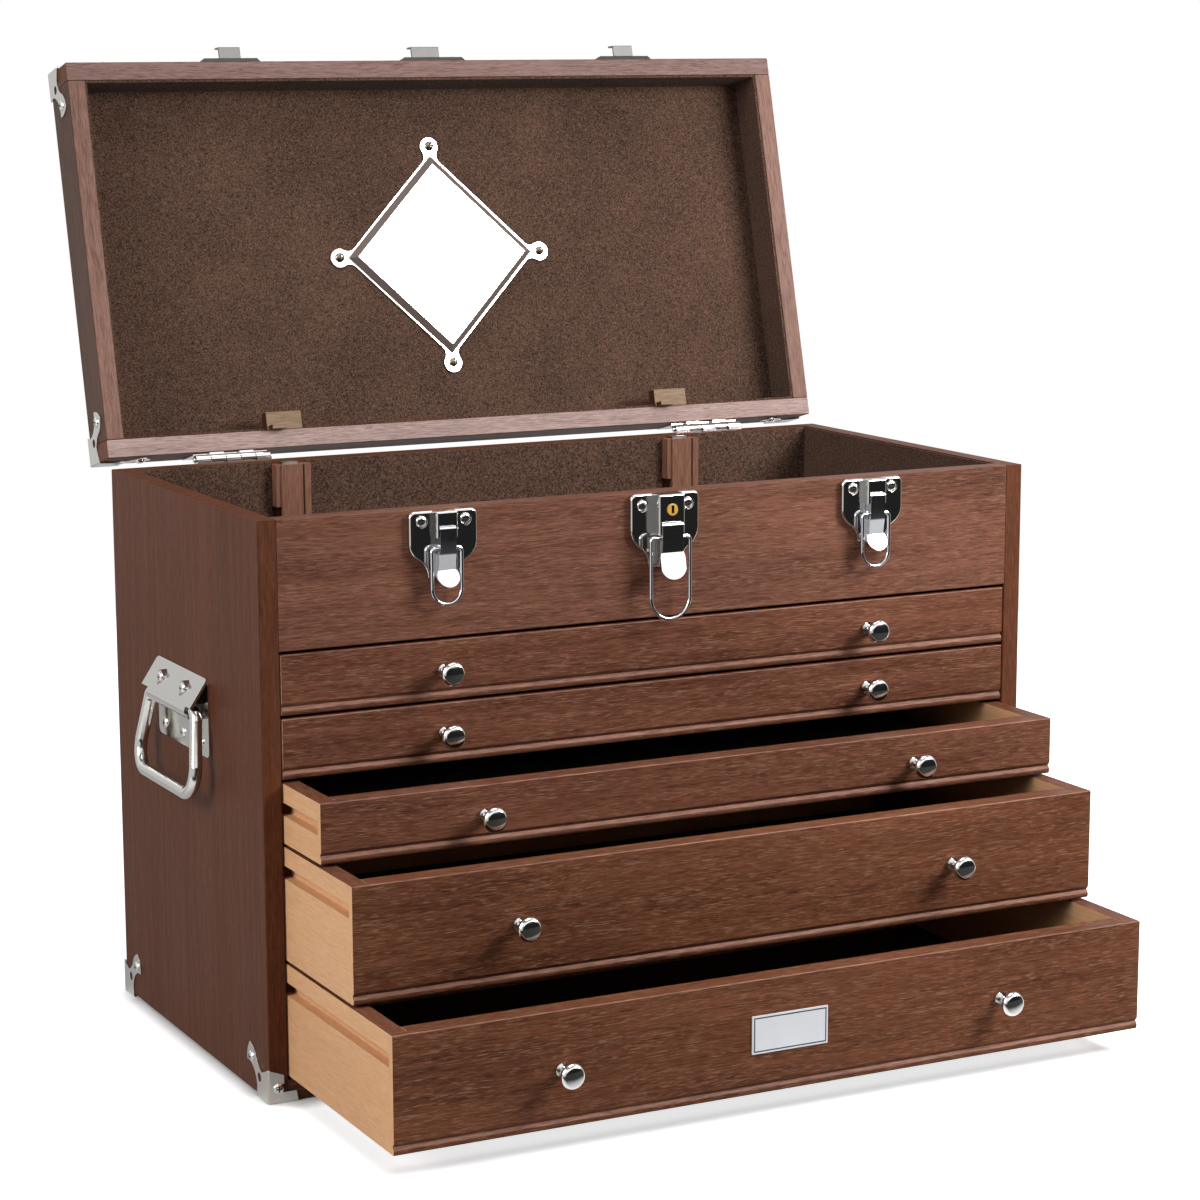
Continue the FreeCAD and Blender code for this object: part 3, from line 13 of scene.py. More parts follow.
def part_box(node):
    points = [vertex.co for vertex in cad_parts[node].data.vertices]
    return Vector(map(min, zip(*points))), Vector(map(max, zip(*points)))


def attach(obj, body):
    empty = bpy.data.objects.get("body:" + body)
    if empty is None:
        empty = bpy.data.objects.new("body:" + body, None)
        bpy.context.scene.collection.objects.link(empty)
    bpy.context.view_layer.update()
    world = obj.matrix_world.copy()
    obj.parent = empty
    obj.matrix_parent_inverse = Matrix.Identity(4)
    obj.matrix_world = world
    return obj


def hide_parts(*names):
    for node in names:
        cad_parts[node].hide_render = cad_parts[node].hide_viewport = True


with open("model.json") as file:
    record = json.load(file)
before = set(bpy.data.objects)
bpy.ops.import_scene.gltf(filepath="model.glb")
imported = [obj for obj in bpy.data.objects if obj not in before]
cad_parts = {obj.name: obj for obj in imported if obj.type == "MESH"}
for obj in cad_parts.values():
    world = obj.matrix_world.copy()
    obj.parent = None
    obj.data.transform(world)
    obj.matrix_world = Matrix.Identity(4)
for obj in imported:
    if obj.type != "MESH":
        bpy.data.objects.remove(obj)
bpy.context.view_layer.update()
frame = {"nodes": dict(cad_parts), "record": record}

bl_info = {
    "name": "Wooden tool chest",
    "version": (1, 0, 0),
    "blender": (4, 5, 0),
    "location": "View3D > Sidebar > Tool chest",
    "description": "Dresses a tool chest frame in wood, felt and bright hardware",
    "category": "Object",
}

MM = 0.001
LID_OPEN = math.radians(104.2)
BEZEL_LIP = 60.0 * MM
STRIKE_BASE = 2.2 * MM
FRONT = -130.0 * MM
DRAWERS = (1, 2, 3, 4, 5)
DEEP_DRAWERS = (4, 5)
DRAWER_OPEN = {3: 56.3 * MM, 4: 100.8 * MM, 5: 154.5 * MM}

ALONG_X = (0.0, 0.0, 0.0)
ALONG_Y = (0.0, 0.0, -math.pi / 2)
ALONG_Z = (0.0, math.pi / 2, 0.0)
LID_ALONG_X = (LID_OPEN, 0.0, 0.0)
LID_ALONG_Y = (LID_OPEN, 0.0, -math.pi / 2)

SAME_POINT = 2e-6
SAME_PLANE = math.radians(0.6)
BOARD_CREASE = 32.0
EASED_CREASE = 45.0
ROUND_CREASE = 40.0
HEAD_CREASE = 35.0
EASE_ANGLE = 30.0
GLASS_EASE = 0.3 * MM
BEZEL_EASE = 0.5 * MM
LEVER_FADE = 1.5 * MM
KEYWAY_REACH = 1.2 * MM
MIRROR_SCREWS = 4
FELT_SIDE_GAP = 4.3 * MM
FELT_BACK_GAP = 8.3 * MM
PLATE_X = 1.0 * MM
PLATE_Z = 51.2 * MM
PLATE_EASE = 0.25 * MM
LINE_INSET = 1.1 * MM
FIELD_INSET = 1.9 * MM
LINE_RISE = 0.02 * MM
FIELD_RISE = 0.05 * MM
LINE_DEPTH = 0.1 * MM

TAB_HIGHLIGHT_WHITE = (0.88, 0.88, 0.88, 1.0)
STEEL_GREY = (0.50, 0.49, 0.47, 1.0)
PLATE_GREY = (0.84, 0.86, 0.90, 1.0)
STRIKE_REFLECTION_GREY = (0.24, 0.235, 0.225, 1.0)
SCREW_BROWN = (0.30, 0.26, 0.20, 1.0)
SHADED_BROWN = (0.115, 0.082, 0.072, 1.0)
SLOT_BLACK = (0.03, 0.028, 0.026, 1.0)
LINE_BLACK = (0.05, 0.05, 0.05, 1.0)
SILVER = (0.95, 0.96, 0.96, 1.0)


def colour_prop(name, text, value):
    """A colour that the panel shows."""
    return FloatVectorProperty(name=name, description=text, default=value, size=4, min=0.0, max=1.0,
                               subtype="COLOR")


def length_prop(name, text, value):
    """A length that the panel shows."""
    return FloatProperty(name=name, description=text, default=value, min=0.0, unit="LENGTH")


class ChestWood(bpy.types.PropertyGroup):
    """Colours of the stained and the bare wood."""
    dark: colour_prop("Stain, dark", "Darkest tone of the stained boards", (0.058, 0.0185, 0.0090, 1.0))
    light: colour_prop("Stain, light", "Lightest tone of the stained boards", (0.188, 0.072, 0.040, 1.0))
    rail_dark: colour_prop("Rail, dark", "Darkest tone of the front rail", (0.066, 0.024, 0.014, 1.0))
    rail_light: colour_prop("Rail, light", "Lightest tone of the front rail", (0.205, 0.085, 0.053, 1.0))
    deep_dark: colour_prop("Low drawers, dark", "Darkest tone of the deep drawers",
                           (0.054, 0.0168, 0.0070, 1.0))
    deep_light: colour_prop("Low drawers, light", "Lightest tone of the deep drawers",
                            (0.183, 0.067, 0.032, 1.0))
    # Painted highlight: lighter tones for the drawer fronts' faces that tilt up and forward, where the bevels
    # and beads catch the light.
    highlight_edge_dark: colour_prop("Edge highlight, dark", "Darkest tone of the beads' upper edges", (0.110, 0.048, 0.032, 1.0))
    highlight_edge_light: colour_prop("Edge highlight, light", "Lightest tone of the beads' upper edges",
                            (0.33, 0.17, 0.125, 1.0))
    fleck: colour_prop("Pores", "Pale filler in the open pores", (0.30, 0.165, 0.105, 1.0))
    side_dark: colour_prop("Side, dark", "Darkest tone of the side panels", (0.064, 0.0205, 0.0088, 1.0))
    side_light: colour_prop("Side, light", "Lightest tone of the side panels", (0.125, 0.041, 0.0185, 1.0))
    bare_dark: colour_prop("Bare wood, dark", "Darkest tone of the drawer sides", (0.63, 0.335, 0.165, 1.0))
    bare_light: colour_prop("Bare wood, light", "Lightest tone of the drawer sides",
                            (0.78, 0.465, 0.255, 1.0))
    rim_dark: colour_prop("Rim, dark", "Darkest tone of the lid's rim", (0.125, 0.070, 0.058, 1.0))
    rim_light: colour_prop("Rim, light", "Lightest tone of the lid's rim", (0.255, 0.160, 0.141, 1.0))
    upright_dark: colour_prop("Side rim, dark", "Darkest tone of the rim's sides", (0.120, 0.060, 0.044, 1.0))
    upright_light: colour_prop("Side rim, light", "Lightest tone of the rim's sides",
                               (0.270, 0.148, 0.116, 1.0))
    # Painted light: the rim by the hinges is lighter than the rest of the rim, as if it caught more light.
    low_dark: colour_prop("Low rim, dark", "Darkest tone of the rim by the hinges",
                          (0.230, 0.150, 0.132, 1.0))
    low_light: colour_prop("Low rim, light", "Lightest tone of the rim by the hinges",
                           (0.46, 0.335, 0.305, 1.0))
    # Darker tones for the lid's outer sides.
    lid_side_dark: colour_prop("Lid side, dark", "Darkest tone of the lid's sides",
                                (0.053, 0.028, 0.019, 1.0))
    lid_side_light: colour_prop("Lid side, light", "Lightest tone of the lid's sides",
                                 (0.122, 0.064, 0.045, 1.0))
    post_dark: colour_prop("Post, dark", "Darkest tone of the lock posts", (0.105, 0.045, 0.028, 1.0))
    post_light: colour_prop("Post, light", "Lightest tone of the lock posts", (0.24, 0.115, 0.075, 1.0))
    block_dark: colour_prop("Block, dark", "Darkest tone of the lock blocks", (0.18, 0.115, 0.070, 1.0))
    block_light: colour_prop("Block, light", "Lightest tone of the lock blocks", (0.32, 0.215, 0.135, 1.0))
    board_ease: length_prop("Board edge", "Rounding of the drawer edges", 0.7 * MM)


class ChestFelt(bpy.types.PropertyGroup):
    """Colours of the felt linings."""
    dark: colour_prop("Felt, dark", "Darkest fibres", (0.018, 0.009, 0.006, 1.0))
    light: colour_prop("Felt, light", "Lightest fibres", (0.160, 0.087, 0.057, 1.0))
    thickness: length_prop("Felt", "Thickness of the felt in the drawers", 1.2 * MM)


class ChestMetal(bpy.types.PropertyGroup):
    """Finish and edges of the hardware."""
    nickel: colour_prop("Nickel", "Colour of the bright plating", (0.82, 0.84, 0.88, 1.0))
    soft_nickel: colour_prop("Soft nickel", "Colour of the guards and handles", (0.66, 0.645, 0.61, 1.0))
    brass: colour_prop("Brass", "Colour of the lock's plug", (0.66, 0.36, 0.07, 1.0))
    sheet_ease: length_prop("Sheet edge", "Rounding of the pressed sheet", 0.35 * MM)
    head_radius: length_prop("Screw head", "Radius of a screw's head", 3.5 * MM)
    mirror_head_radius: length_prop("Mirror screw", "Radius of a screw's head on the mirror", 3.3 * MM)
    head_height: length_prop("Screw dome", "Height of a screw's dome", 1.6 * MM)
    slot_width: length_prop("Screw slot", "Width of a screw's cross slot", 0.9 * MM)
    plate_width: length_prop("Plate width", "Width of the bare plate", 51.0 * MM)
    plate_height: length_prop("Plate height", "Height of the bare plate", 23.0 * MM)
    plate_thickness: length_prop("Plate", "Thickness of the bare plate", 0.9 * MM)


class ChestStudio(bpy.types.PropertyGroup):
    """Lamps around the chest."""
    key: FloatProperty(name="Key", description="Power of the right softbox", default=21.0, unit="POWER")
    left: FloatProperty(name="Left", description="Power of the left softbox", default=29.0, unit="POWER")
    top: FloatProperty(name="Top", description="Power of the overhead softbox", default=14.0, unit="POWER")
    ambient: FloatProperty(name="Ambient", description="Strength of the surroundings", default=0.14)


# Materials

def new_group(name, inputs, outputs):
    """An empty shader group with named sockets."""
    tree = bpy.data.node_groups.new(name, "ShaderNodeTree")
    for label, kind, value in inputs:
        socket = tree.interface.new_socket(label, in_out="INPUT", socket_type=kind)
        if value is not None:
            socket.default_value = value
    for label, kind in outputs:
        tree.interface.new_socket(label, in_out="OUTPUT", socket_type=kind)
    return tree, tree.nodes.new("NodeGroupInput"), tree.nodes.new("NodeGroupOutput")


def value_of(tree, socket, value):
    """Feed a socket from another socket or with a constant."""
    if isinstance(value, bpy.types.NodeSocket):
        tree.links.new(value, socket)
    else:
        socket.default_value = value


def scaled(tree, vector, scale):
    """A vector times a scale of its own for each axis."""
    node = tree.nodes.new("ShaderNodeVectorMath")
    node.operation = "MULTIPLY"
    value_of(tree, node.inputs[0], vector)
    node.inputs[1].default_value = scale
    return node.outputs[0]


def noise(tree, vector, detail=2.0, roughness=0.5, distortion=0.0):
    """Noise between 0 and 1 over a scaled vector."""
    node = tree.nodes.new("ShaderNodeTexNoise")
    tree.links.new(vector, node.inputs["Vector"])
    node.inputs["Scale"].default_value = 1.0
    node.inputs["Detail"].default_value = detail
    node.inputs["Roughness"].default_value = roughness
    node.inputs["Distortion"].default_value = distortion
    return node.outputs["Fac"]


def ramp(tree, value, low, high, to_low=0.0, to_high=1.0, smooth=True):
    """A value's way from low to high, carried over to another range."""
    node = tree.nodes.new("ShaderNodeMapRange")
    node.interpolation_type = "SMOOTHSTEP" if smooth else "LINEAR"
    tree.links.new(value, node.inputs["Value"])
    for label, amount in (("From Min", low), ("From Max", high), ("To Min", to_low), ("To Max", to_high)):
        value_of(tree, node.inputs[label], amount)
    return node.outputs["Result"]


def maths(tree, operation, first, second=0.0, third=0.0):
    """One sum of up to three sockets or numbers."""
    node = tree.nodes.new("ShaderNodeMath")
    node.operation = operation
    for socket, value in zip(node.inputs, (first, second, third)):
        value_of(tree, socket, value)
    return node.outputs[0]


def blended(tree, factor, first, second):
    """A colour between two others."""
    node = tree.nodes.new("ShaderNodeMix")
    node.data_type = "RGBA"
    node.blend_type = "MIX"
    value_of(tree, node.inputs[0], factor)
    value_of(tree, node.inputs[6], first)
    value_of(tree, node.inputs[7], second)
    return node.outputs[2]


def grain_group():
    """Open-pored grain that runs along the vector's x."""
    tree, source, sink = new_group(
        "wood_grain",
        [("Vector", "NodeSocketVector", None), ("Dark", "NodeSocketColor", None),
         ("Light", "NodeSocketColor", None), ("Pore", "NodeSocketColor", None),
         ("Pore Amount", "NodeSocketFloat", 0.5), ("Figure", "NodeSocketFloat", 1.0)],
        [("Color", "NodeSocketColor"), ("Height", "NodeSocketFloat"), ("Roughness", "NodeSocketFloat")])
    vector = source.outputs["Vector"]
    sway = noise(tree, scaled(tree, vector, (6.0, 20.0, 20.0)), 2.0)
    drift = tree.nodes.new("ShaderNodeVectorMath")
    drift.operation = "MULTIPLY_ADD"
    combine = tree.nodes.new("ShaderNodeCombineXYZ")
    for socket in combine.inputs:
        tree.links.new(sway, socket)
    tree.links.new(combine.outputs[0], drift.inputs[0])
    drift.inputs[1].default_value = (0.0, 0.007, 0.007)
    tree.links.new(vector, drift.inputs[2])
    bent = drift.outputs[0]
    cloud = noise(tree, scaled(tree, bent, (4.0, 22.0, 22.0)), 3.0)
    bands = noise(tree, scaled(tree, bent, (7.0, 210.0, 210.0)), 4.0, 0.6)
    threads = noise(tree, scaled(tree, bent, (90.0, 1350.0, 1350.0)), 3.0, 0.65)
    pores = noise(tree, scaled(tree, bent, (120.0, 1900.0, 1900.0)), 1.0, 0.4)
    rows = noise(tree, scaled(tree, bent, (12.0, 150.0, 150.0)), 2.0, 0.6)
    tone = maths(tree, "MULTIPLY_ADD", cloud, 0.40, maths(tree, "MULTIPLY_ADD", bands, 0.35,
                 maths(tree, "MULTIPLY", threads, 0.95)))
    tone = ramp(tree, tone, 0.64, 1.06, smooth=False)
    wood = blended(tree, tone, source.outputs["Dark"], source.outputs["Light"])
    marks = maths(tree, "MULTIPLY", ramp(tree, pores, 0.59, 0.66), ramp(tree, rows, 0.30, 0.56))
    marked = maths(tree, "MULTIPLY", marks, source.outputs["Pore Amount"])
    tree.links.new(blended(tree, marked, wood, source.outputs["Pore"]), sink.inputs["Color"])
    height = maths(tree, "SUBTRACT", maths(tree, "MULTIPLY", threads, 0.5),
                   maths(tree, "MULTIPLY", marks, 0.8))
    tree.links.new(height, sink.inputs["Height"])
    tree.links.new(ramp(tree, bands, 0.3, 0.7, 0.42, 0.56), sink.inputs["Roughness"])
    return tree


def fibre_group():
    """Short felted fibres."""
    tree, source, sink = new_group(
        "felt_fibres",
        [("Vector", "NodeSocketVector", None), ("Dark", "NodeSocketColor", None),
         ("Light", "NodeSocketColor", None)],
        [("Color", "NodeSocketColor"), ("Height", "NodeSocketFloat")])
    vector = source.outputs["Vector"]
    fine = noise(tree, scaled(tree, vector, (1000.0, 1000.0, 1000.0)), 2.0, 0.7, 0.3)
    clumps = noise(tree, scaled(tree, vector, (300.0, 300.0, 300.0)), 2.0, 0.6)
    patches = noise(tree, scaled(tree, vector, (18.0, 18.0, 18.0)), 2.0)
    tone = maths(tree, "MULTIPLY_ADD", fine, 0.95, maths(tree, "MULTIPLY_ADD", clumps, 0.15,
                 maths(tree, "MULTIPLY", patches, 0.14)))
    tree.links.new(blended(tree, ramp(tree, tone, 0.485, 0.82, smooth=False), source.outputs["Dark"],
                           source.outputs["Light"]), sink.inputs["Color"])
    tree.links.new(maths(tree, "ADD", fine, clumps), sink.inputs["Height"])
    return tree


def handling_group():
    """Faint smears that vary a metal's polish."""
    tree, source, sink = new_group(
        "handling_marks",
        [("Vector", "NodeSocketVector", None), ("Low", "NodeSocketFloat", 0.05),
         ("High", "NodeSocketFloat", 0.12)],
        [("Roughness", "NodeSocketFloat"), ("Height", "NodeSocketFloat")])
    vector = source.outputs["Vector"]
    smears = noise(tree, scaled(tree, vector, (120.0, 120.0, 60.0)), 3.0, 0.6)
    ripple = noise(tree, scaled(tree, vector, (90.0, 90.0, 90.0)), 1.0)
    tree.links.new(ramp(tree, smears, 0.35, 0.7, source.outputs["Low"], source.outputs["High"]),
                   sink.inputs["Roughness"])
    tree.links.new(ripple, sink.inputs["Height"])
    return tree


def start_material(name):
    """A material with its Principled BSDF and Object coordinates."""
    material = bpy.data.materials.new(name)
    material.use_nodes = True
    tree = material.node_tree
    shader = tree.nodes["Principled BSDF"]
    where = tree.nodes.new("ShaderNodeTexCoord")
    return material, tree, shader, where


def turned(tree, where, turn):
    """Object coordinates turned so that the grain runs along x."""
    mapping = tree.nodes.new("ShaderNodeMapping")
    tree.links.new(where.outputs["Object"], mapping.inputs["Vector"])
    mapping.inputs["Rotation"].default_value = turn
    return mapping.outputs["Vector"]


def use_group(tree, group, **values):
    """A group node with its inputs fed by name."""
    node = tree.nodes.new("ShaderNodeGroup")
    node.node_tree = group
    for label, value in values.items():
        value_of(tree, node.inputs[label.replace("_", " ")], value)
    return node


def bump(tree, height, strength, distance):
    """A normal raised by a height."""
    node = tree.nodes.new("ShaderNodeBump")
    node.inputs["Strength"].default_value = strength
    node.inputs["Distance"].default_value = distance
    tree.links.new(height, node.inputs["Height"])
    return node.outputs["Normal"]


def wood(name, turn, dark, light, pore, pore_amount=0.55):
    """Wood with its grain along one turn."""
    material, tree, shader, where = start_material(name)
    grain = use_group(tree, bpy.data.node_groups["wood_grain"], Vector=turned(tree, where, turn),
                      Dark=dark, Light=light, Pore=pore, Pore_Amount=pore_amount)
    tree.links.new(grain.outputs["Color"], shader.inputs["Base Color"])
    tree.links.new(grain.outputs["Roughness"], shader.inputs["Roughness"])
    tree.links.new(bump(tree, grain.outputs["Height"], 0.25, 0.0003), shader.inputs["Normal"])
    shader.inputs["Specular IOR Level"].default_value = 0.10
    return material


def felt(name):
    """Felt with short fibres."""
    tones = bpy.context.scene.chest_felt
    material, tree, shader, where = start_material(name)
    fibres = use_group(tree, bpy.data.node_groups["felt_fibres"], Vector=where.outputs["Object"],
                       Dark=tones.dark, Light=tones.light)
    tree.links.new(fibres.outputs["Color"], shader.inputs["Base Color"])
    tree.links.new(bump(tree, fibres.outputs["Height"], 0.7, 0.0006), shader.inputs["Normal"])
    shader.inputs["Roughness"].default_value = 0.95
    shader.inputs["Specular IOR Level"].default_value = 0.15
    shader.inputs["Sheen Weight"].default_value = 0.05
    return material


def metal(name, colour, low, high, ripple=0.0, metallic=1.0):
    """A metal or enamel whose polish varies between two roughnesses."""
    material, tree, shader, where = start_material(name)
    marks = use_group(tree, bpy.data.node_groups["handling_marks"], Vector=where.outputs["Object"],
                      Low=low, High=high)
    shader.inputs["Base Color"].default_value = colour
    shader.inputs["Metallic"].default_value = metallic
    tree.links.new(marks.outputs["Roughness"], shader.inputs["Roughness"])
    if ripple:
        tree.links.new(bump(tree, marks.outputs["Height"], ripple, 0.0005), shader.inputs["Normal"])
    return material


def half_highlit_nickel(name, edge, fade):
    """Nickel that is a mirror above a height and half diffuse below it, a painted highlight that whitens the
    tab.
    """
    material = metal(name, bpy.context.scene.chest_metal.nickel, 0.06, 0.14, 0.10)
    tree = material.node_tree
    shader = tree.nodes["Principled BSDF"]
    split = tree.nodes.new("ShaderNodeSeparateXYZ")
    tree.links.new(tree.nodes["Texture Coordinate"].outputs["Object"], split.inputs[0])
    tree.links.new(ramp(tree, split.outputs["Z"], edge, edge + fade, 0.50, 1.0), shader.inputs["Metallic"])
    return material


def mirror_silver(name):
    """The mirror's glass, silvered behind."""
    material, tree, shader, where = start_material(name)
    shader.inputs["Base Color"].default_value = SILVER
    shader.inputs["Metallic"].default_value = 1.0
    shader.inputs["Roughness"].default_value = 0.02
    return material


# Pieces

def merged_copy(node, name):
    """A copy of a frame node's mesh with its loose triangles joined and its flat faces whole."""
    source = frame["nodes"][node]
    mesh = source.data.copy()
    mesh.name = name
    work = bmesh.new()
    work.from_mesh(mesh)
    bmesh.ops.remove_doubles(work, verts=work.verts, dist=SAME_POINT)
    bmesh.ops.dissolve_degenerate(work, dist=SAME_POINT / 2, edges=work.edges)
    bmesh.ops.dissolve_limit(work, angle_limit=SAME_PLANE, verts=work.verts, edges=work.edges)
    bmesh.ops.recalc_face_normals(work, faces=work.faces)
    work.to_mesh(mesh)
    work.free()
    if "custom_normal" in mesh.attributes:
        mesh.attributes.remove(mesh.attributes["custom_normal"])
    piece = bpy.data.objects.new(name, mesh)
    bpy.context.scene.collection.objects.link(piece)
    return piece


def smooth(mesh, angle):
    """Smooth shading with sharp edges past an angle."""
    mesh.polygons.foreach_set("use_smooth", [True] * len(mesh.polygons))
    mesh.set_sharp_from_angle(angle=math.radians(angle))


def settled(piece):
    """Turn the evaluated object into a plain mesh without modifiers."""
    depsgraph = bpy.context.evaluated_depsgraph_get()
    mesh = bpy.data.meshes.new_from_object(piece.evaluated_get(depsgraph))
    piece.modifiers.clear()
    piece.data = mesh
    return piece


def eased(piece, width, segments=2, finishes=()):
    """Round a piece's edges and keep its flat faces flat; a second finish goes on the edges."""
    piece.data.materials.clear()
    for material in finishes:
        piece.data.materials.append(material)
    smooth(piece.data, BOARD_CREASE)
    bevel = piece.modifiers.new("ease", "BEVEL")
    bevel.width = width
    bevel.segments = segments
    bevel.limit_method = "ANGLE"
    bevel.angle_limit = math.radians(EASE_ANGLE)
    bevel.use_clamp_overlap = True
    bevel.harden_normals = False
    bevel.material = len(finishes) - 1
    settled(piece)
    smooth(piece.data, EASED_CREASE)
    weights = piece.modifiers.new("weights", "WEIGHTED_NORMAL")
    weights.mode = "FACE_AREA"
    weights.weight = 90
    weights.keep_sharp = True
    return settled(piece)


def body_of(node):
    """The body that a frame node moves with."""
    for body, members in frame["record"]["behaviour"]["bodies"].items():
        if node in members:
            return body
    raise KeyError(node)


def fasten(piece, body, replaced=()):
    """Fasten a dressed piece to its body."""
    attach(piece, body)
    if replaced:
        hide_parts(*replaced)
    return piece


def finish_piece(piece, body, material, replaced=()):
    """Dress a piece in one finish and fasten it to its body."""
    piece.data.materials.clear()
    piece.data.materials.append(material)
    return fasten(piece, body, replaced)


def dress(node, material, ease, segments=2, edge=None):
    """Stand a round-edged copy in for a frame node, with its edges in a finish of their own if asked."""
    finishes = (material, edge) if edge else (material,)
    piece = eased(merged_copy(node, node + "_dressed"), ease, segments, finishes)
    return fasten(piece, body_of(node), (node,))


def refinish(piece, material, picks):
    """Give the faces that picks chooses another material."""
    piece.data.materials.append(material)
    last = len(piece.data.materials) - 1
    chosen = [face for face in piece.data.polygons if picks(face)]
    if not chosen:
        raise RuntimeError("no faces to refinish on " + piece.name)
    for face in chosen:
        face.material_index = last
    return piece


def paint(node, material):
    """Give a frame node its material."""
    piece = frame["nodes"][node]
    if not piece.material_slots:
        piece.data.materials.append(material)
    for slot in piece.material_slots:
        slot.material = material


def block(name, low, high):
    """A closed box between two corners."""
    work = bmesh.new()
    bmesh.ops.create_cube(work, size=1.0)
    low, high = Vector(low), Vector(high)
    for vertex in work.verts:
        vertex.co = Vector([(low[i] + high[i]) / 2 + vertex.co[i] * (high[i] - low[i]) for i in range(3)])
    mesh = bpy.data.meshes.new(name)
    work.to_mesh(mesh)
    work.free()
    piece = bpy.data.objects.new(name, mesh)
    bpy.context.scene.collection.objects.link(piece)
    return piece


def lid_way(direction):
    """Which way a direction of the shut lid points when the lid is open."""
    return Matrix.Rotation(-LID_OPEN, 3, "X") @ Vector(direction)


class CHEST_OT_materials(bpy.types.Operator):
    """Build the shader groups and every material"""
    bl_idname = "chest.materials"
    bl_label = "Materials"

    def execute(self, context):
        grain_group()
        fibre_group()
        handling_group()
        tones = context.scene.chest_wood
        metals = context.scene.chest_metal
        wood("stained_front", ALONG_X, tones.dark, tones.light, tones.fleck, 0.48)
        wood("stained_deep", ALONG_X, tones.deep_dark, tones.deep_light, tones.fleck, 0.52)
        wood("stained_rail", ALONG_X, tones.rail_dark, tones.rail_light, tones.fleck, 0.45)
        wood("stained_edge", ALONG_Y, tones.dark, tones.light, tones.fleck, 0.3)
        wood("stained_side", ALONG_Z, tones.side_dark, tones.side_light, tones.fleck, 0.12)
        wood("stained_lid", LID_ALONG_X, tones.dark, tones.light, tones.fleck, 0.5)
        wood("stained_lid_side", LID_ALONG_Y, tones.lid_side_dark, tones.lid_side_light,
             tones.side_dark, 0.2)
        wood("lid_rim", LID_ALONG_X, tones.rim_dark, tones.rim_light, tones.side_dark, 0.5)
        wood("lid_rim_side", LID_ALONG_Y, tones.upright_dark, tones.upright_light, tones.side_dark, 0.5)
        wood("bare_end", ALONG_Z, tones.bare_dark, tones.bare_light, tones.bare_dark, 0.25)
        wood("bare_board", ALONG_Y, tones.bare_dark, tones.bare_light, tones.bare_dark, 0.25)
        wood("runner_wood", ALONG_Y, tones.dark, tones.dark, tones.dark, 0.1)
        wood("low_rim_painted_light", LID_ALONG_X, tones.low_dark, tones.low_light, tones.rim_dark, 0.5)
        wood("painted_highlight_edge", ALONG_X, tones.highlight_edge_dark, tones.highlight_edge_light, tones.highlight_edge_dark, 0.2)
        wood("post_wood", ALONG_Z, tones.post_dark, tones.post_light, tones.post_dark, 0.2)
        wood("block_wood", LID_ALONG_X, tones.block_dark, tones.block_light, tones.block_dark, 0.2)
        wood("block_painted_shade", LID_ALONG_X, tones.side_dark, tones.side_dark, tones.side_dark, 0.1)
        felt("brown_felt")
        metal("bright_nickel", metals.nickel, 0.04, 0.10, 0.10)
        metal("soft_nickel", metals.soft_nickel, 0.10, 0.20, 0.12)
        metal("tab_painted_highlight", TAB_HIGHLIGHT_WHITE, 0.30, 0.40, metallic=0.0)
        metal("bright_wire", metals.nickel, 0.05, 0.10)
        metal("plain_steel", STEEL_GREY, 0.28, 0.40)
        metal("plug_brass", metals.brass, 0.25, 0.35, metallic=0.25)
        metal("plate_metal", PLATE_GREY, 0.30, 0.40, metallic=0.3)
        metal("strike_painted_reflection", STRIKE_REFLECTION_GREY, 0.50, 0.60, metallic=0.0)
        metal("dark_nickel", SCREW_BROWN, 0.20, 0.32)
        metal("shaded_nickel", SHADED_BROWN, 0.45, 0.60, metallic=0.0)
        metal("slot_shadow", SLOT_BLACK, 0.5, 0.6, metallic=0.0)
        metal("plate_line", LINE_BLACK, 0.4, 0.5, metallic=0.0)
        mirror_silver("mirror_silver")
        return {"FINISHED"}


def finish(name):
    """A material by its name."""
    return bpy.data.materials[name]


class CHEST_OT_case(bpy.types.Operator):
    """Dress the case boards, the till and the runners"""
    bl_idname = "chest.case"
    bl_label = "Case"

    def execute(self, context):
        ease = context.scene.chest_wood.board_ease
        for node in ("side_panel_left", "side_panel_right", "back_panel"):
            paint(node, finish("stained_side"))
        paint("front_rail", finish("stained_rail"))
        for node in ("bottom_panel", "till_floor"):
            paint(node, finish("stained_front"))
        dress("lock_posts", finish("post_wood"), ease / 2)
        paint("drawer_runners", finish("runner_wood"))
        paint("till_lining", finish("brown_felt"))
        for node in ("lock_bar_left", "lock_bar_right"):
            paint(node, finish("plain_steel"))
        return {"FINISHED"}


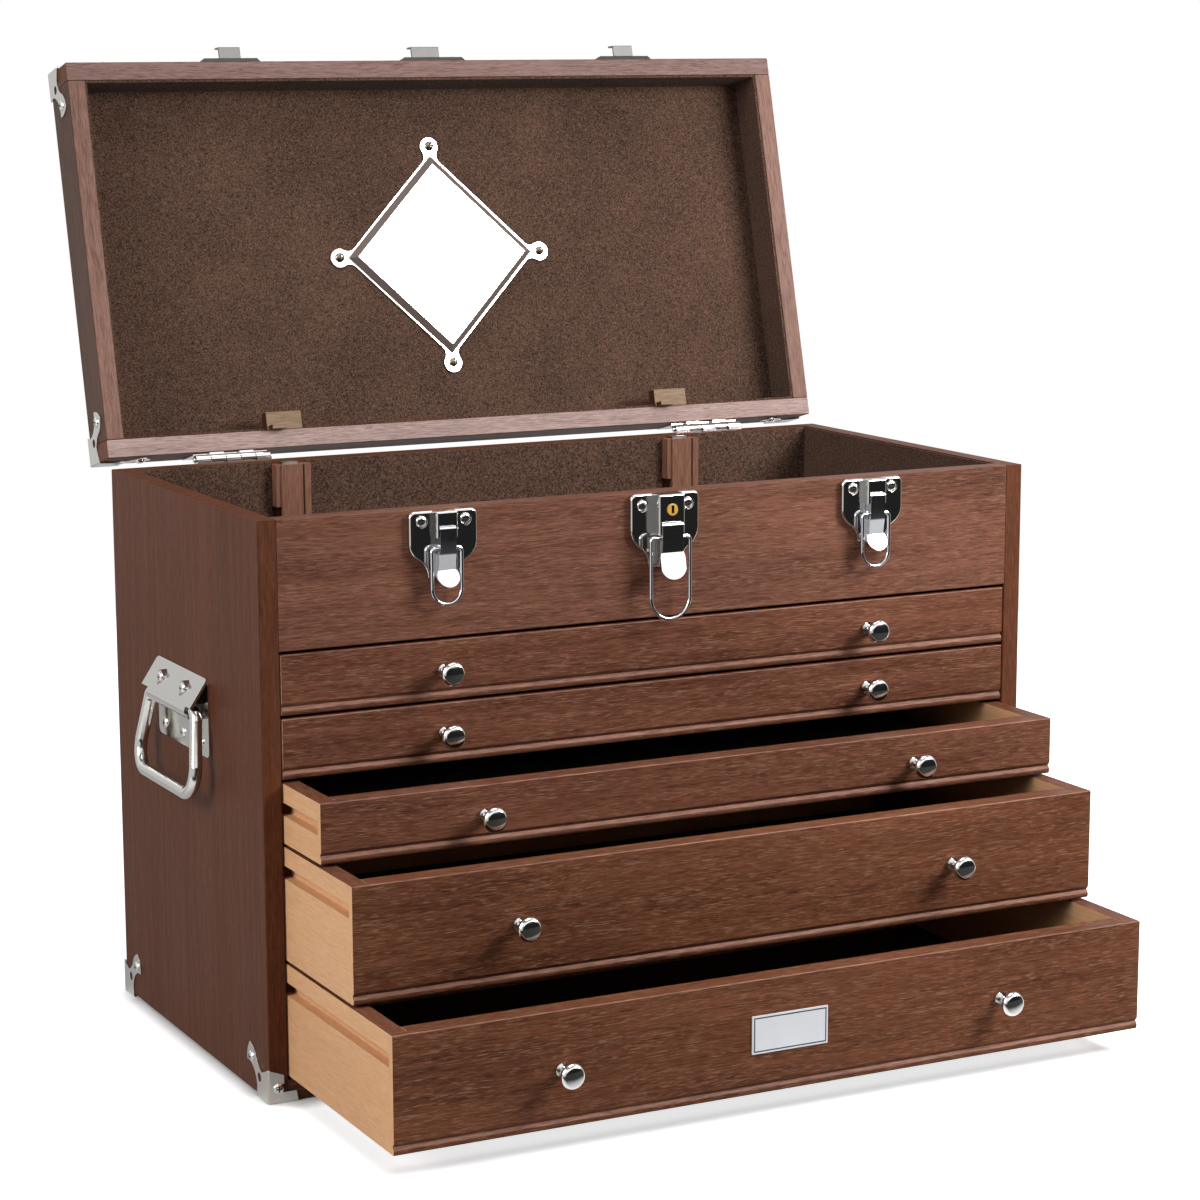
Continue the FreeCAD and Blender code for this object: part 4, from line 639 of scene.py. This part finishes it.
class CHEST_OT_drawers(bpy.types.Operator):
    """Dress the drawers and lay felt in them"""
    bl_idname = "chest.drawers"
    bl_label = "Drawers"

    def execute(self, context):
        ease = context.scene.chest_wood.board_ease
        thickness = context.scene.chest_felt.thickness
        for number in DRAWERS:
            name = "drawer_%d" % number
            stain = "stained_deep" if number in DEEP_DRAWERS else "stained_front"
            front = dress(name + "_front", finish(stain), ease * 0.6)
            refinish(front, finish("bare_end"), lambda face: abs(face.normal.x) > 0.7)
            # Painted highlight on the faces that tilt up and forward.
            refinish(front, finish("painted_highlight_edge"), lambda face: face.normal.z > 0.25 and face.normal.y < -0.25)
            boards = dress(name + "_box", finish("bare_board"), ease * 0.6)
            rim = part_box(name + "_front")[1][2] - ease
            refinish(boards, finish("stained_edge"),
                     lambda face: face.normal.z > 0.4 and face.center.z > rim)
            paint(name + "_bottom", finish("stained_front"))
            piece = merged_copy(name + "_knobs", name + "_knobs_dressed")
            smooth(piece.data, ROUND_CREASE)
            finish_piece(piece, name, finish("bright_nickel"), (name + "_knobs",))
            low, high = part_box(name + "_bottom")
            lining = block(name + "_felt", (low[0] + FELT_SIDE_GAP, low[1] + FELT_SIDE_GAP, high[2]),
                           (high[0] - FELT_SIDE_GAP, high[1] - FELT_BACK_GAP, high[2] + thickness))
            finish_piece(lining, name, finish("brown_felt"))
        return {"FINISHED"}


class CHEST_OT_lid(bpy.types.Operator):
    """Dress the lid's boards, its felt and its lock blocks"""
    bl_idname = "chest.lid"
    bl_label = "Lid"

    def execute(self, context):
        ease = context.scene.chest_wood.board_ease
        facing = lid_way((0.0, 0.0, -1.0))

        def on_rim(face):
            return face.normal.dot(facing) > 0.9

        paint("lid_top_panel", finish("stained_lid"))
        refinish(dress("lid_front_wall", finish("stained_lid"), ease), finish("lid_rim"), on_rim)
        # The rim by the hinges is painted lighter, as if better lit.
        refinish(dress("lid_back_wall", finish("stained_lid"), ease), finish("low_rim_painted_light"), on_rim)
        refinish(dress("lid_side_walls", finish("stained_lid_side"), ease), finish("lid_rim_side"), on_rim)
        blocks = dress("lid_lock_blocks", finish("block_wood"), ease / 2)
        # Painted shade on the blocks' left faces, which face away from the key light.
        refinish(blocks, finish("block_painted_shade"), lambda face: face.normal.x < -0.7)
        paint("lid_lining", finish("brown_felt"))
        return {"FINISHED"}


class CHEST_OT_mirror(bpy.types.Operator):
    """Dress the mirror and its bezel"""
    bl_idname = "chest.mirror"
    bl_label = "Mirror"

    def execute(self, context):
        dress("mirror_glass", finish("mirror_silver"), GLASS_EASE)
        bezel = dress("mirror_bezel", finish("bright_nickel"), BEZEL_EASE)
        low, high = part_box("mirror_glass")
        middle = (Vector(low) + Vector(high)) / 2
        facing = lid_way((0.0, 0.0, -1.0))
        across = lid_way((0.0, 1.0, 0.0))

        # Painted shade: the bezel's slopes and the window's inner walls get the shaded finish in place of the
        # dark they mirror.
        def on_slope(face):
            tilt = face.normal.dot(facing)
            reach = face.center - middle
            inside = abs(reach.x) + abs(reach.dot(across)) < BEZEL_LIP
            return 0.75 < tilt < 0.93 or (abs(tilt) < 0.5 and inside)

        refinish(bezel, finish("shaded_nickel"), on_slope)
        return {"FINISHED"}


class CHEST_OT_hardware(bpy.types.Operator):
    """Dress the latches, hinges, guards and handles"""
    bl_idname = "chest.hardware"
    bl_label = "Hardware"

    def execute(self, context):
        ease = context.scene.chest_metal.sheet_ease
        for side in ("left", "centre", "right"):
            dress("latch_plate_" + side, finish("bright_nickel"), ease * 1.6, 3)
            low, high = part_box("latch_lever_" + side)
            waist = (low[2] + high[2]) / 2
            nickel = finish("bright_nickel")
            if side != "centre":
                # Below the waist the side levers carry a painted highlight.
                nickel = half_highlit_nickel("lever_painted_highlight_" + side, waist, LEVER_FADE)
            lever = dress("latch_lever_" + side, nickel, ease)
            # Painted highlight: the centre lever's tab faces that tilt up are a flat white in place of the
            # chrome's bright reflection.
            if side == "centre":
                refinish(lever, finish("tab_painted_highlight"),
                         lambda face: face.normal.z > 0.1 and face.normal.y < -0.8 and face.center.z < waist)
        for side in ("left", "centre", "right"):
            piece = merged_copy("latch_bail_" + side, "latch_bail_%s_dressed" % side)
            smooth(piece.data, ROUND_CREASE)
            finish_piece(piece, "bail_" + side, finish("bright_wire"),
                         ("latch_bail_" + side,))
        for side in ("left", "right"):
            piece = merged_copy("handle_bail_" + side, "handle_bail_%s_dressed" % side)
            smooth(piece.data, ROUND_CREASE)
            finish_piece(piece, "handle_" + side, finish("soft_nickel"),
                         ("handle_bail_" + side,))
        # The strikes' chrome is a flat grey, a painted dim reflection, with painted shade on their rounded
        # edges and on the base by the wall.
        strikes = dress("lid_strikes", finish("strike_painted_reflection"), ease * 1.5, edge=finish("slot_shadow"))
        outward = lid_way((0.0, -1.0, 0.0))
        wall = min(vertex.co.dot(outward) for vertex in strikes.data.vertices)
        refinish(strikes, finish("slot_shadow"),
                 lambda face: face.center.dot(outward) - wall < STRIKE_BASE)
        dress("handle_plates", finish("soft_nickel"), ease * 1.3)
        for node in ("case_corner_guards", "lid_corner_guards"):
            dress(node, finish("soft_nickel"), ease * 2.0, 3)
        for node in ("hinge_case_leaves", "hinge_lid_leaves"):
            # The leaves' rounded edges carry painted shade.
            dress(node, finish("bright_nickel"), ease * 0.9, edge=finish("shaded_nickel"))
        dress("hinge_pins", finish("bright_nickel"), ease * 0.7)
        plug = dress("lock_plug", finish("plug_brass"), ease * 0.4)
        low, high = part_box("lock_plug")
        middle = (Vector(low) + Vector(high)) / 2
        # Painted shade in the keyway.
        refinish(plug, finish("slot_shadow"),
                 lambda face: face.normal.y < 0.5 and (face.center - middle).xz.length < KEYWAY_REACH)
        return {"FINISHED"}


def screw_tree():
    """Cross-slotted screw heads on points that carry the way they face."""
    tree = bpy.data.node_groups.new("screw_heads", "GeometryNodeTree")
    sockets = (("Points", "NodeSocketGeometry"), ("Head Radius", "NodeSocketFloat"),
               ("Dome Height", "NodeSocketFloat"), ("Slot Width", "NodeSocketFloat"),
               ("Finish", "NodeSocketMaterial"), ("Slot Shadow", "NodeSocketMaterial"))
    for label, kind in sockets:
        tree.interface.new_socket(label, in_out="INPUT", socket_type=kind)
    tree.interface.new_socket("Screws", in_out="OUTPUT", socket_type="NodeSocketGeometry")
    source = tree.nodes.new("NodeGroupInput")
    sink = tree.nodes.new("NodeGroupOutput")
    link = tree.links.new

    def size(x, y, z):
        node = tree.nodes.new("ShaderNodeCombineXYZ")
        for socket, value in zip(node.inputs, (x, y, z)):
            value_of(tree, socket, value)
        return node.outputs[0]

    dome = tree.nodes.new("GeometryNodeMeshUVSphere")
    dome.inputs["Segments"].default_value = 24
    dome.inputs["Rings"].default_value = 12
    link(source.outputs["Head Radius"], dome.inputs["Radius"])
    flat = tree.nodes.new("GeometryNodeTransform")
    link(dome.outputs["Mesh"], flat.inputs["Geometry"])
    link(size(1.0, 1.0, maths(tree, "DIVIDE", source.outputs["Dome Height"],
                              source.outputs["Head Radius"])), flat.inputs["Scale"])
    reach = maths(tree, "MULTIPLY", source.outputs["Head Radius"], 1.15)
    width = source.outputs["Slot Width"]
    cutters = tree.nodes.new("GeometryNodeJoinGeometry")
    for extent in ((reach, width), (width, reach)):
        bar = tree.nodes.new("GeometryNodeMeshCube")
        link(size(extent[0], extent[1], source.outputs["Dome Height"]), bar.inputs["Size"])
        lift = tree.nodes.new("GeometryNodeTransform")
        link(bar.outputs["Mesh"], lift.inputs["Geometry"])
        link(size(0.0, 0.0, source.outputs["Dome Height"]), lift.inputs["Translation"])
        link(lift.outputs["Geometry"], cutters.inputs["Geometry"])
    plated = tree.nodes.new("GeometryNodeSetMaterial")
    link(flat.outputs["Geometry"], plated.inputs["Geometry"])
    link(source.outputs["Finish"], plated.inputs["Material"])
    # The slot walls come from the cutters and carry the painted slot shadow.
    shaded = tree.nodes.new("GeometryNodeSetMaterial")
    link(cutters.outputs["Geometry"], shaded.inputs["Geometry"])
    link(source.outputs["Slot Shadow"], shaded.inputs["Material"])
    slots = tree.nodes.new("GeometryNodeMeshBoolean")
    slots.operation = "DIFFERENCE"
    slots.solver = "EXACT"
    link(plated.outputs["Geometry"], slots.inputs["Mesh 1"])
    link(shaded.outputs["Geometry"], slots.inputs["Mesh 2"])
    slots.inputs["Self Intersection"].default_value = True
    facing = tree.nodes.new("GeometryNodeInputNamedAttribute")
    facing.data_type = "FLOAT_VECTOR"
    facing.inputs["Name"].default_value = "facing"
    aim = tree.nodes.new("FunctionNodeAlignRotationToVector")
    aim.axis = "Z"
    link(facing.outputs["Attribute"], aim.inputs["Vector"])
    scatter = tree.nodes.new("GeometryNodeInstanceOnPoints")
    link(source.outputs["Points"], scatter.inputs["Points"])
    link(slots.outputs["Mesh"], scatter.inputs["Instance"])
    link(aim.outputs["Rotation"], scatter.inputs["Rotation"])
    real = tree.nodes.new("GeometryNodeRealizeInstances")
    link(scatter.outputs["Instances"], real.inputs["Geometry"])
    link(real.outputs["Geometry"], sink.inputs["Screws"])
    return tree


def screw_seats(node):
    """Where each screw of a node sits and the way its head faces."""
    work = bmesh.new()
    work.from_mesh(frame["nodes"][node].data)
    bmesh.ops.remove_doubles(work, verts=work.verts, dist=SAME_POINT)
    seen = set()
    seats = []
    for first in work.verts:
        if first.index in seen:
            continue
        island, queue = [], [first]
        seen.add(first.index)
        while queue:
            vertex = queue.pop()
            island.append(vertex.co.copy())
            for edge in vertex.link_edges:
                other = edge.other_vert(vertex)
                if other.index not in seen:
                    seen.add(other.index)
                    queue.append(other)
        points = np.array(island)
        middle = (points.max(axis=0) + points.min(axis=0)) / 2
        axis = np.linalg.svd(points - middle)[2][0]
        run = (points - middle) @ axis
        spread = np.linalg.norm((points - middle) - np.outer(run, axis), axis=1)
        if run[spread.argmax()] < 0:
            axis, run = -axis, -run
        seat = middle + axis * run[spread.argmax()]
        seats.append((Vector(seat), Vector(axis)))
    work.free()
    return seats


def screw_heads(tree, label, body, seats, radius, material, replaced):
    """One piece with a head on each seat."""
    metals = bpy.context.scene.chest_metal
    mesh = bpy.data.meshes.new(label)
    mesh.from_pydata([seat for seat, way in seats], [], [])
    facing = mesh.attributes.new("facing", "FLOAT_VECTOR", "POINT")
    for index, (seat, way) in enumerate(seats):
        facing.data[index].vector = way
    piece = bpy.data.objects.new(label, mesh)
    bpy.context.scene.collection.objects.link(piece)
    modifier = piece.modifiers.new("heads", "NODES")
    modifier.node_group = tree
    values = {"Head Radius": radius, "Dome Height": metals.head_height,
              "Slot Width": metals.slot_width, "Finish": material, "Slot Shadow": finish("slot_shadow")}
    for item in tree.interface.items_tree:
        if item.in_out == "INPUT" and item.name in values:
            modifier[item.identifier] = values[item.name]
    settled(piece)
    smooth(piece.data, HEAD_CREASE)
    if not piece.data.polygons:
        raise RuntimeError("no screw heads came out for " + label)
    fasten(piece, body, replaced)


class CHEST_OT_screws(bpy.types.Operator):
    """Put cross-slotted heads on the screws"""
    bl_idname = "chest.screws"
    bl_label = "Screws"

    def execute(self, context):
        metals = context.scene.chest_metal
        tree = screw_tree()
        low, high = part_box("mirror_bezel")
        on_case = screw_seats("case_screws")
        on_lid = screw_seats("lid_screws")
        on_bezel = [pair for pair in on_lid
                    if all(low[i] < pair[0][i] < high[i] for i in (0, 2)) and pair[1].y < -0.5]
        if len(on_bezel) != MIRROR_SCREWS:
            raise RuntimeError("the mirror has %d screws, not %d" % (MIRROR_SCREWS, len(on_bezel)))
        rest = [pair for pair in on_lid if pair not in on_bezel]
        screw_heads(tree, "case_screw_heads", "case", on_case, metals.head_radius,
                    finish("bright_nickel"), ("case_screws",))
        screw_heads(tree, "lid_screw_heads", "lid", rest, metals.head_radius,
                    finish("bright_nickel"), ("lid_screws",))
        screw_heads(tree, "mirror_screw_heads", "lid", on_bezel, metals.mirror_head_radius,
                    finish("dark_nickel"), ())
        return {"FINISHED"}


class CHEST_OT_plate(bpy.types.Operator):
    """Fix the bare plate to the lowest drawer"""
    bl_idname = "chest.plate"
    bl_label = "Bare plate"

    def execute(self, context):
        metals = context.scene.chest_metal
        middle = Vector((PLATE_X, FRONT - DRAWER_OPEN[5], PLATE_Z))
        half = Vector((metals.plate_width / 2, 0.0, metals.plate_height / 2))
        depth = metals.plate_thickness

        def slab(name, inset, back, front):
            return block(name, (middle.x - half.x + inset, middle.y - front, middle.z - half.z + inset),
                         (middle.x + half.x - inset, middle.y - back, middle.z + half.z - inset))

        plate = eased(slab("bare_plate", 0.0, 0.0, depth), PLATE_EASE)
        finish_piece(plate, "drawer_5", finish("plate_metal"))
        line = slab("bare_plate_line", LINE_INSET, depth - LINE_DEPTH, depth + LINE_RISE)
        finish_piece(line, "drawer_5", finish("plate_line"))
        field = slab("bare_plate_field", FIELD_INSET, depth - LINE_DEPTH, depth + FIELD_RISE)
        finish_piece(field, "drawer_5", finish("plate_metal"))
        return {"FINISHED"}


EYE = Vector((-896.142, -1788.820, 608.965)) * MM
YAW, PITCH, ROLL = (math.radians(angle) for angle in (26.266, -10.297, -0.328))
FOCAL_PIXELS = 3122.95
PRINCIPAL = (548.831, 624.245)
FRAME_PIXELS = 1200.0
SENSOR = 36.0
SCREEN_WAY = (0.36, -0.93, -0.08)

CHEST_MIDDLE = (0.0, 0.0, 0.25)
KEY_PLACE, KEY_TARGET, KEY_SIZE = (0.78, -0.84, 0.88), (0.2, -0.1, 0.28), (0.6, 0.5)
LEFT_PLACE, LEFT_SIZE = (-2.0, -0.55, 1.15), (1.0, 1.2)
TOP_PLACE, TOP_SIZE = (0.1, -0.2, 2.2), (1.6, 1.2)
FLOOR_RADIUS = 1.5
FLOOR_FADE = (0.55, 1.2)
FLOOR_TOUCH = 0.020
FLOOR_WHITE = (0.88, 0.88, 0.88, 1.0)
FLOOR_BOUNCE = (0.45, 0.45, 0.45, 1.0)
FLOOR_MIRRORED = (0.03, 0.03, 0.03, 1.0)


def add_camera(scene):
    """A camera where the photograph was taken from."""
    data = bpy.data.cameras.new("photo_camera")
    data.sensor_width = SENSOR
    data.sensor_fit = "HORIZONTAL"
    data.lens = SENSOR * FOCAL_PIXELS / FRAME_PIXELS
    data.shift_x = (FRAME_PIXELS / 2 - PRINCIPAL[0]) / FRAME_PIXELS
    data.shift_y = (PRINCIPAL[1] - FRAME_PIXELS / 2) / FRAME_PIXELS
    data.clip_end = 100.0
    forward = Vector((math.sin(YAW) * math.cos(PITCH), math.cos(YAW) * math.cos(PITCH), math.sin(PITCH)))
    level = Vector((math.cos(YAW), -math.sin(YAW), 0.0))
    up = level.cross(forward)
    right = level * math.cos(ROLL) + up * math.sin(ROLL)
    top = up * math.cos(ROLL) - level * math.sin(ROLL)
    camera = bpy.data.objects.new("photo_camera", data)
    turn = Matrix((right, top, -forward)).transposed()
    camera.matrix_world = Matrix.Translation(EYE) @ turn.to_4x4()
    scene.collection.objects.link(camera)
    scene.camera = camera


def add_softbox(scene, name, place, target, size, power):
    """A white area lamp that looks at a target."""
    data = bpy.data.lights.new(name, "AREA")
    data.shape = "RECTANGLE"
    data.size, data.size_y = size
    data.energy = power
    lamp = bpy.data.objects.new(name, data)
    lamp.location = place
    lamp.rotation_euler = (Vector(target) - Vector(place)).to_track_quat("-Z", "Y").to_euler()
    lamp.visible_camera = False
    scene.collection.objects.link(lamp)


def add_world(scene, ambient):
    """White all round, with a dark screen low in front for the hardware to mirror."""
    world = bpy.data.worlds.new("studio")
    world.use_nodes = True
    tree = world.node_tree
    shader = tree.nodes["Background"]
    path = tree.nodes.new("ShaderNodeLightPath")
    where = tree.nodes.new("ShaderNodeTexCoord")
    split = tree.nodes.new("ShaderNodeSeparateXYZ")
    tree.links.new(where.outputs["Generated"], split.inputs[0])
    ahead = tree.nodes.new("ShaderNodeVectorMath")
    ahead.operation = "DOT_PRODUCT"
    tree.links.new(where.outputs["Generated"], ahead.inputs[0])
    ahead.inputs[1].default_value = SCREEN_WAY
    front = ramp(tree, ahead.outputs["Value"], 0.40, 0.78)
    screen = maths(tree, "MULTIPLY", front, ramp(tree, split.outputs["Z"], 0.20, 0.30, 1.0, 0.0))
    high = ramp(tree, split.outputs["Z"], 0.28, 0.38)
    ceiling = ramp(tree, split.outputs["Z"], 0.72, 0.84)
    mirrored = maths(tree, "MULTIPLY_ADD", front, 0.30, 0.70)
    mirrored = maths(tree, "MULTIPLY_ADD", screen, -0.985, mirrored)
    mirrored = maths(tree, "MULTIPLY_ADD", high, 0.35, mirrored)
    mirrored = maths(tree, "MULTIPLY_ADD", ceiling, -0.80, mirrored)
    glossy = maths(tree, "MULTIPLY", path.outputs["Is Glossy Ray"], mirrored)
    other = maths(tree, "MULTIPLY", maths(tree, "SUBTRACT", 1.0, path.outputs["Is Glossy Ray"]), ambient)
    strength = maths(tree, "MAXIMUM", path.outputs["Is Camera Ray"], maths(tree, "ADD", glossy, other))
    tree.links.new(strength, shader.inputs["Strength"])
    shader.inputs["Color"].default_value = (1.0, 1.0, 1.0, 1.0)
    scene.world = world


def add_floor(scene):
    """A white floor that keeps the chest's shadow and runs out to plain white."""
    work = bmesh.new()
    bmesh.ops.create_circle(work, cap_ends=True, segments=64, radius=FLOOR_RADIUS)
    mesh = bpy.data.meshes.new("studio_floor")
    work.to_mesh(mesh)
    work.free()
    floor = bpy.data.objects.new("studio_floor", mesh)
    scene.collection.objects.link(floor)
    material, tree, shader, where = start_material("studio_floor")
    shader.inputs["Roughness"].default_value = 0.9
    shader.inputs["Specular IOR Level"].default_value = 0.0
    path = tree.nodes.new("ShaderNodeLightPath")
    split = tree.nodes.new("ShaderNodeSeparateXYZ")
    tree.links.new(where.outputs["Object"], split.inputs[0])
    # Painted reflection: seen in reflections, the floor in front of the chest is near black.
    screen = maths(tree, "MULTIPLY", path.outputs["Is Glossy Ray"],
                   ramp(tree, split.outputs["Y"], -0.42, -0.29, 1.0, 0.0))
    white = blended(tree, path.outputs["Is Diffuse Ray"], FLOOR_WHITE, FLOOR_BOUNCE)
    tree.links.new(blended(tree, screen, white, FLOOR_MIRRORED), shader.inputs["Base Color"])
    length = tree.nodes.new("ShaderNodeVectorMath")
    length.operation = "LENGTH"
    tree.links.new(where.outputs["Object"], length.inputs[0])
    far = ramp(tree, length.outputs["Value"], *FLOOR_FADE)
    # The glow fades where ambient occlusion finds the chest close, which paints a contact shadow.
    touch = tree.nodes.new("ShaderNodeAmbientOcclusion")
    touch.inputs["Distance"].default_value = FLOOR_TOUCH
    open_share = ramp(tree, touch.outputs["AO"], 0.42, 0.95)
    glow = tree.nodes.new("ShaderNodeEmission")
    tree.links.new(maths(tree, "MULTIPLY", path.outputs["Is Camera Ray"],
                         maths(tree, "MAXIMUM", far, maths(tree, "MULTIPLY", open_share, 0.80))),
                   glow.inputs["Strength"])
    add = tree.nodes.new("ShaderNodeAddShader")
    tree.links.new(shader.outputs[0], add.inputs[0])
    tree.links.new(glow.outputs[0], add.inputs[1])
    output = tree.nodes["Material Output"]
    tree.links.new(add.outputs[0], output.inputs["Surface"])
    mesh.materials.append(material)


class CHEST_OT_studio(bpy.types.Operator):
    """Set up the camera, the lamps, the floor and the surroundings"""
    bl_idname = "chest.studio"
    bl_label = "Studio"

    def execute(self, context):
        scene = context.scene
        studio = scene.chest_studio
        add_camera(scene)
        add_softbox(scene, "key_softbox", KEY_PLACE, KEY_TARGET, KEY_SIZE, studio.key)
        add_softbox(scene, "left_softbox", LEFT_PLACE, CHEST_MIDDLE, LEFT_SIZE, studio.left)
        add_softbox(scene, "top_softbox", TOP_PLACE, CHEST_MIDDLE, TOP_SIZE, studio.top)
        add_world(scene, studio.ambient)
        add_floor(scene)
        scene.view_settings.view_transform = "Standard"
        return {"FINISHED"}


class CHEST_PT_panel(bpy.types.Panel):
    """Lists the steps that dress the chest"""
    bl_idname = "CHEST_PT_panel"
    bl_label = "Tool chest"
    bl_space_type = "VIEW_3D"
    bl_region_type = "UI"
    bl_category = "Tool chest"

    def draw(self, context):
        for group in ("chest_wood", "chest_felt", "chest_metal", "chest_studio"):
            values = getattr(context.scene, group)
            box = self.layout.box()
            for prop in values.bl_rna.properties:
                if prop.identifier not in ("rna_type", "name"):
                    box.prop(values, prop.identifier)
        for step in STEPS:
            self.layout.operator(step.bl_idname)


GROUPS = {"chest_wood": ChestWood, "chest_felt": ChestFelt, "chest_metal": ChestMetal,
          "chest_studio": ChestStudio}
STEPS = (CHEST_OT_materials, CHEST_OT_case, CHEST_OT_drawers, CHEST_OT_lid, CHEST_OT_mirror,
         CHEST_OT_hardware, CHEST_OT_screws, CHEST_OT_plate, CHEST_OT_studio)


def register():
    """Make the settings, the steps and the panel known."""
    for name, group in GROUPS.items():
        bpy.utils.register_class(group)
        setattr(bpy.types.Scene, name, PointerProperty(type=group))
    for step in STEPS:
        bpy.utils.register_class(step)
    bpy.utils.register_class(CHEST_PT_panel)


def unregister():
    """Take them away again."""
    bpy.utils.unregister_class(CHEST_PT_panel)
    for step in reversed(STEPS):
        bpy.utils.unregister_class(step)
    for name, group in GROUPS.items():
        delattr(bpy.types.Scene, name)
        bpy.utils.unregister_class(group)


def main():
    """Dress the whole chest."""
    register()
    for step in STEPS:
        category, name = step.bl_idname.split(".")
        getattr(getattr(bpy.ops, category), name)()


if __name__ == "__main__":
    main()
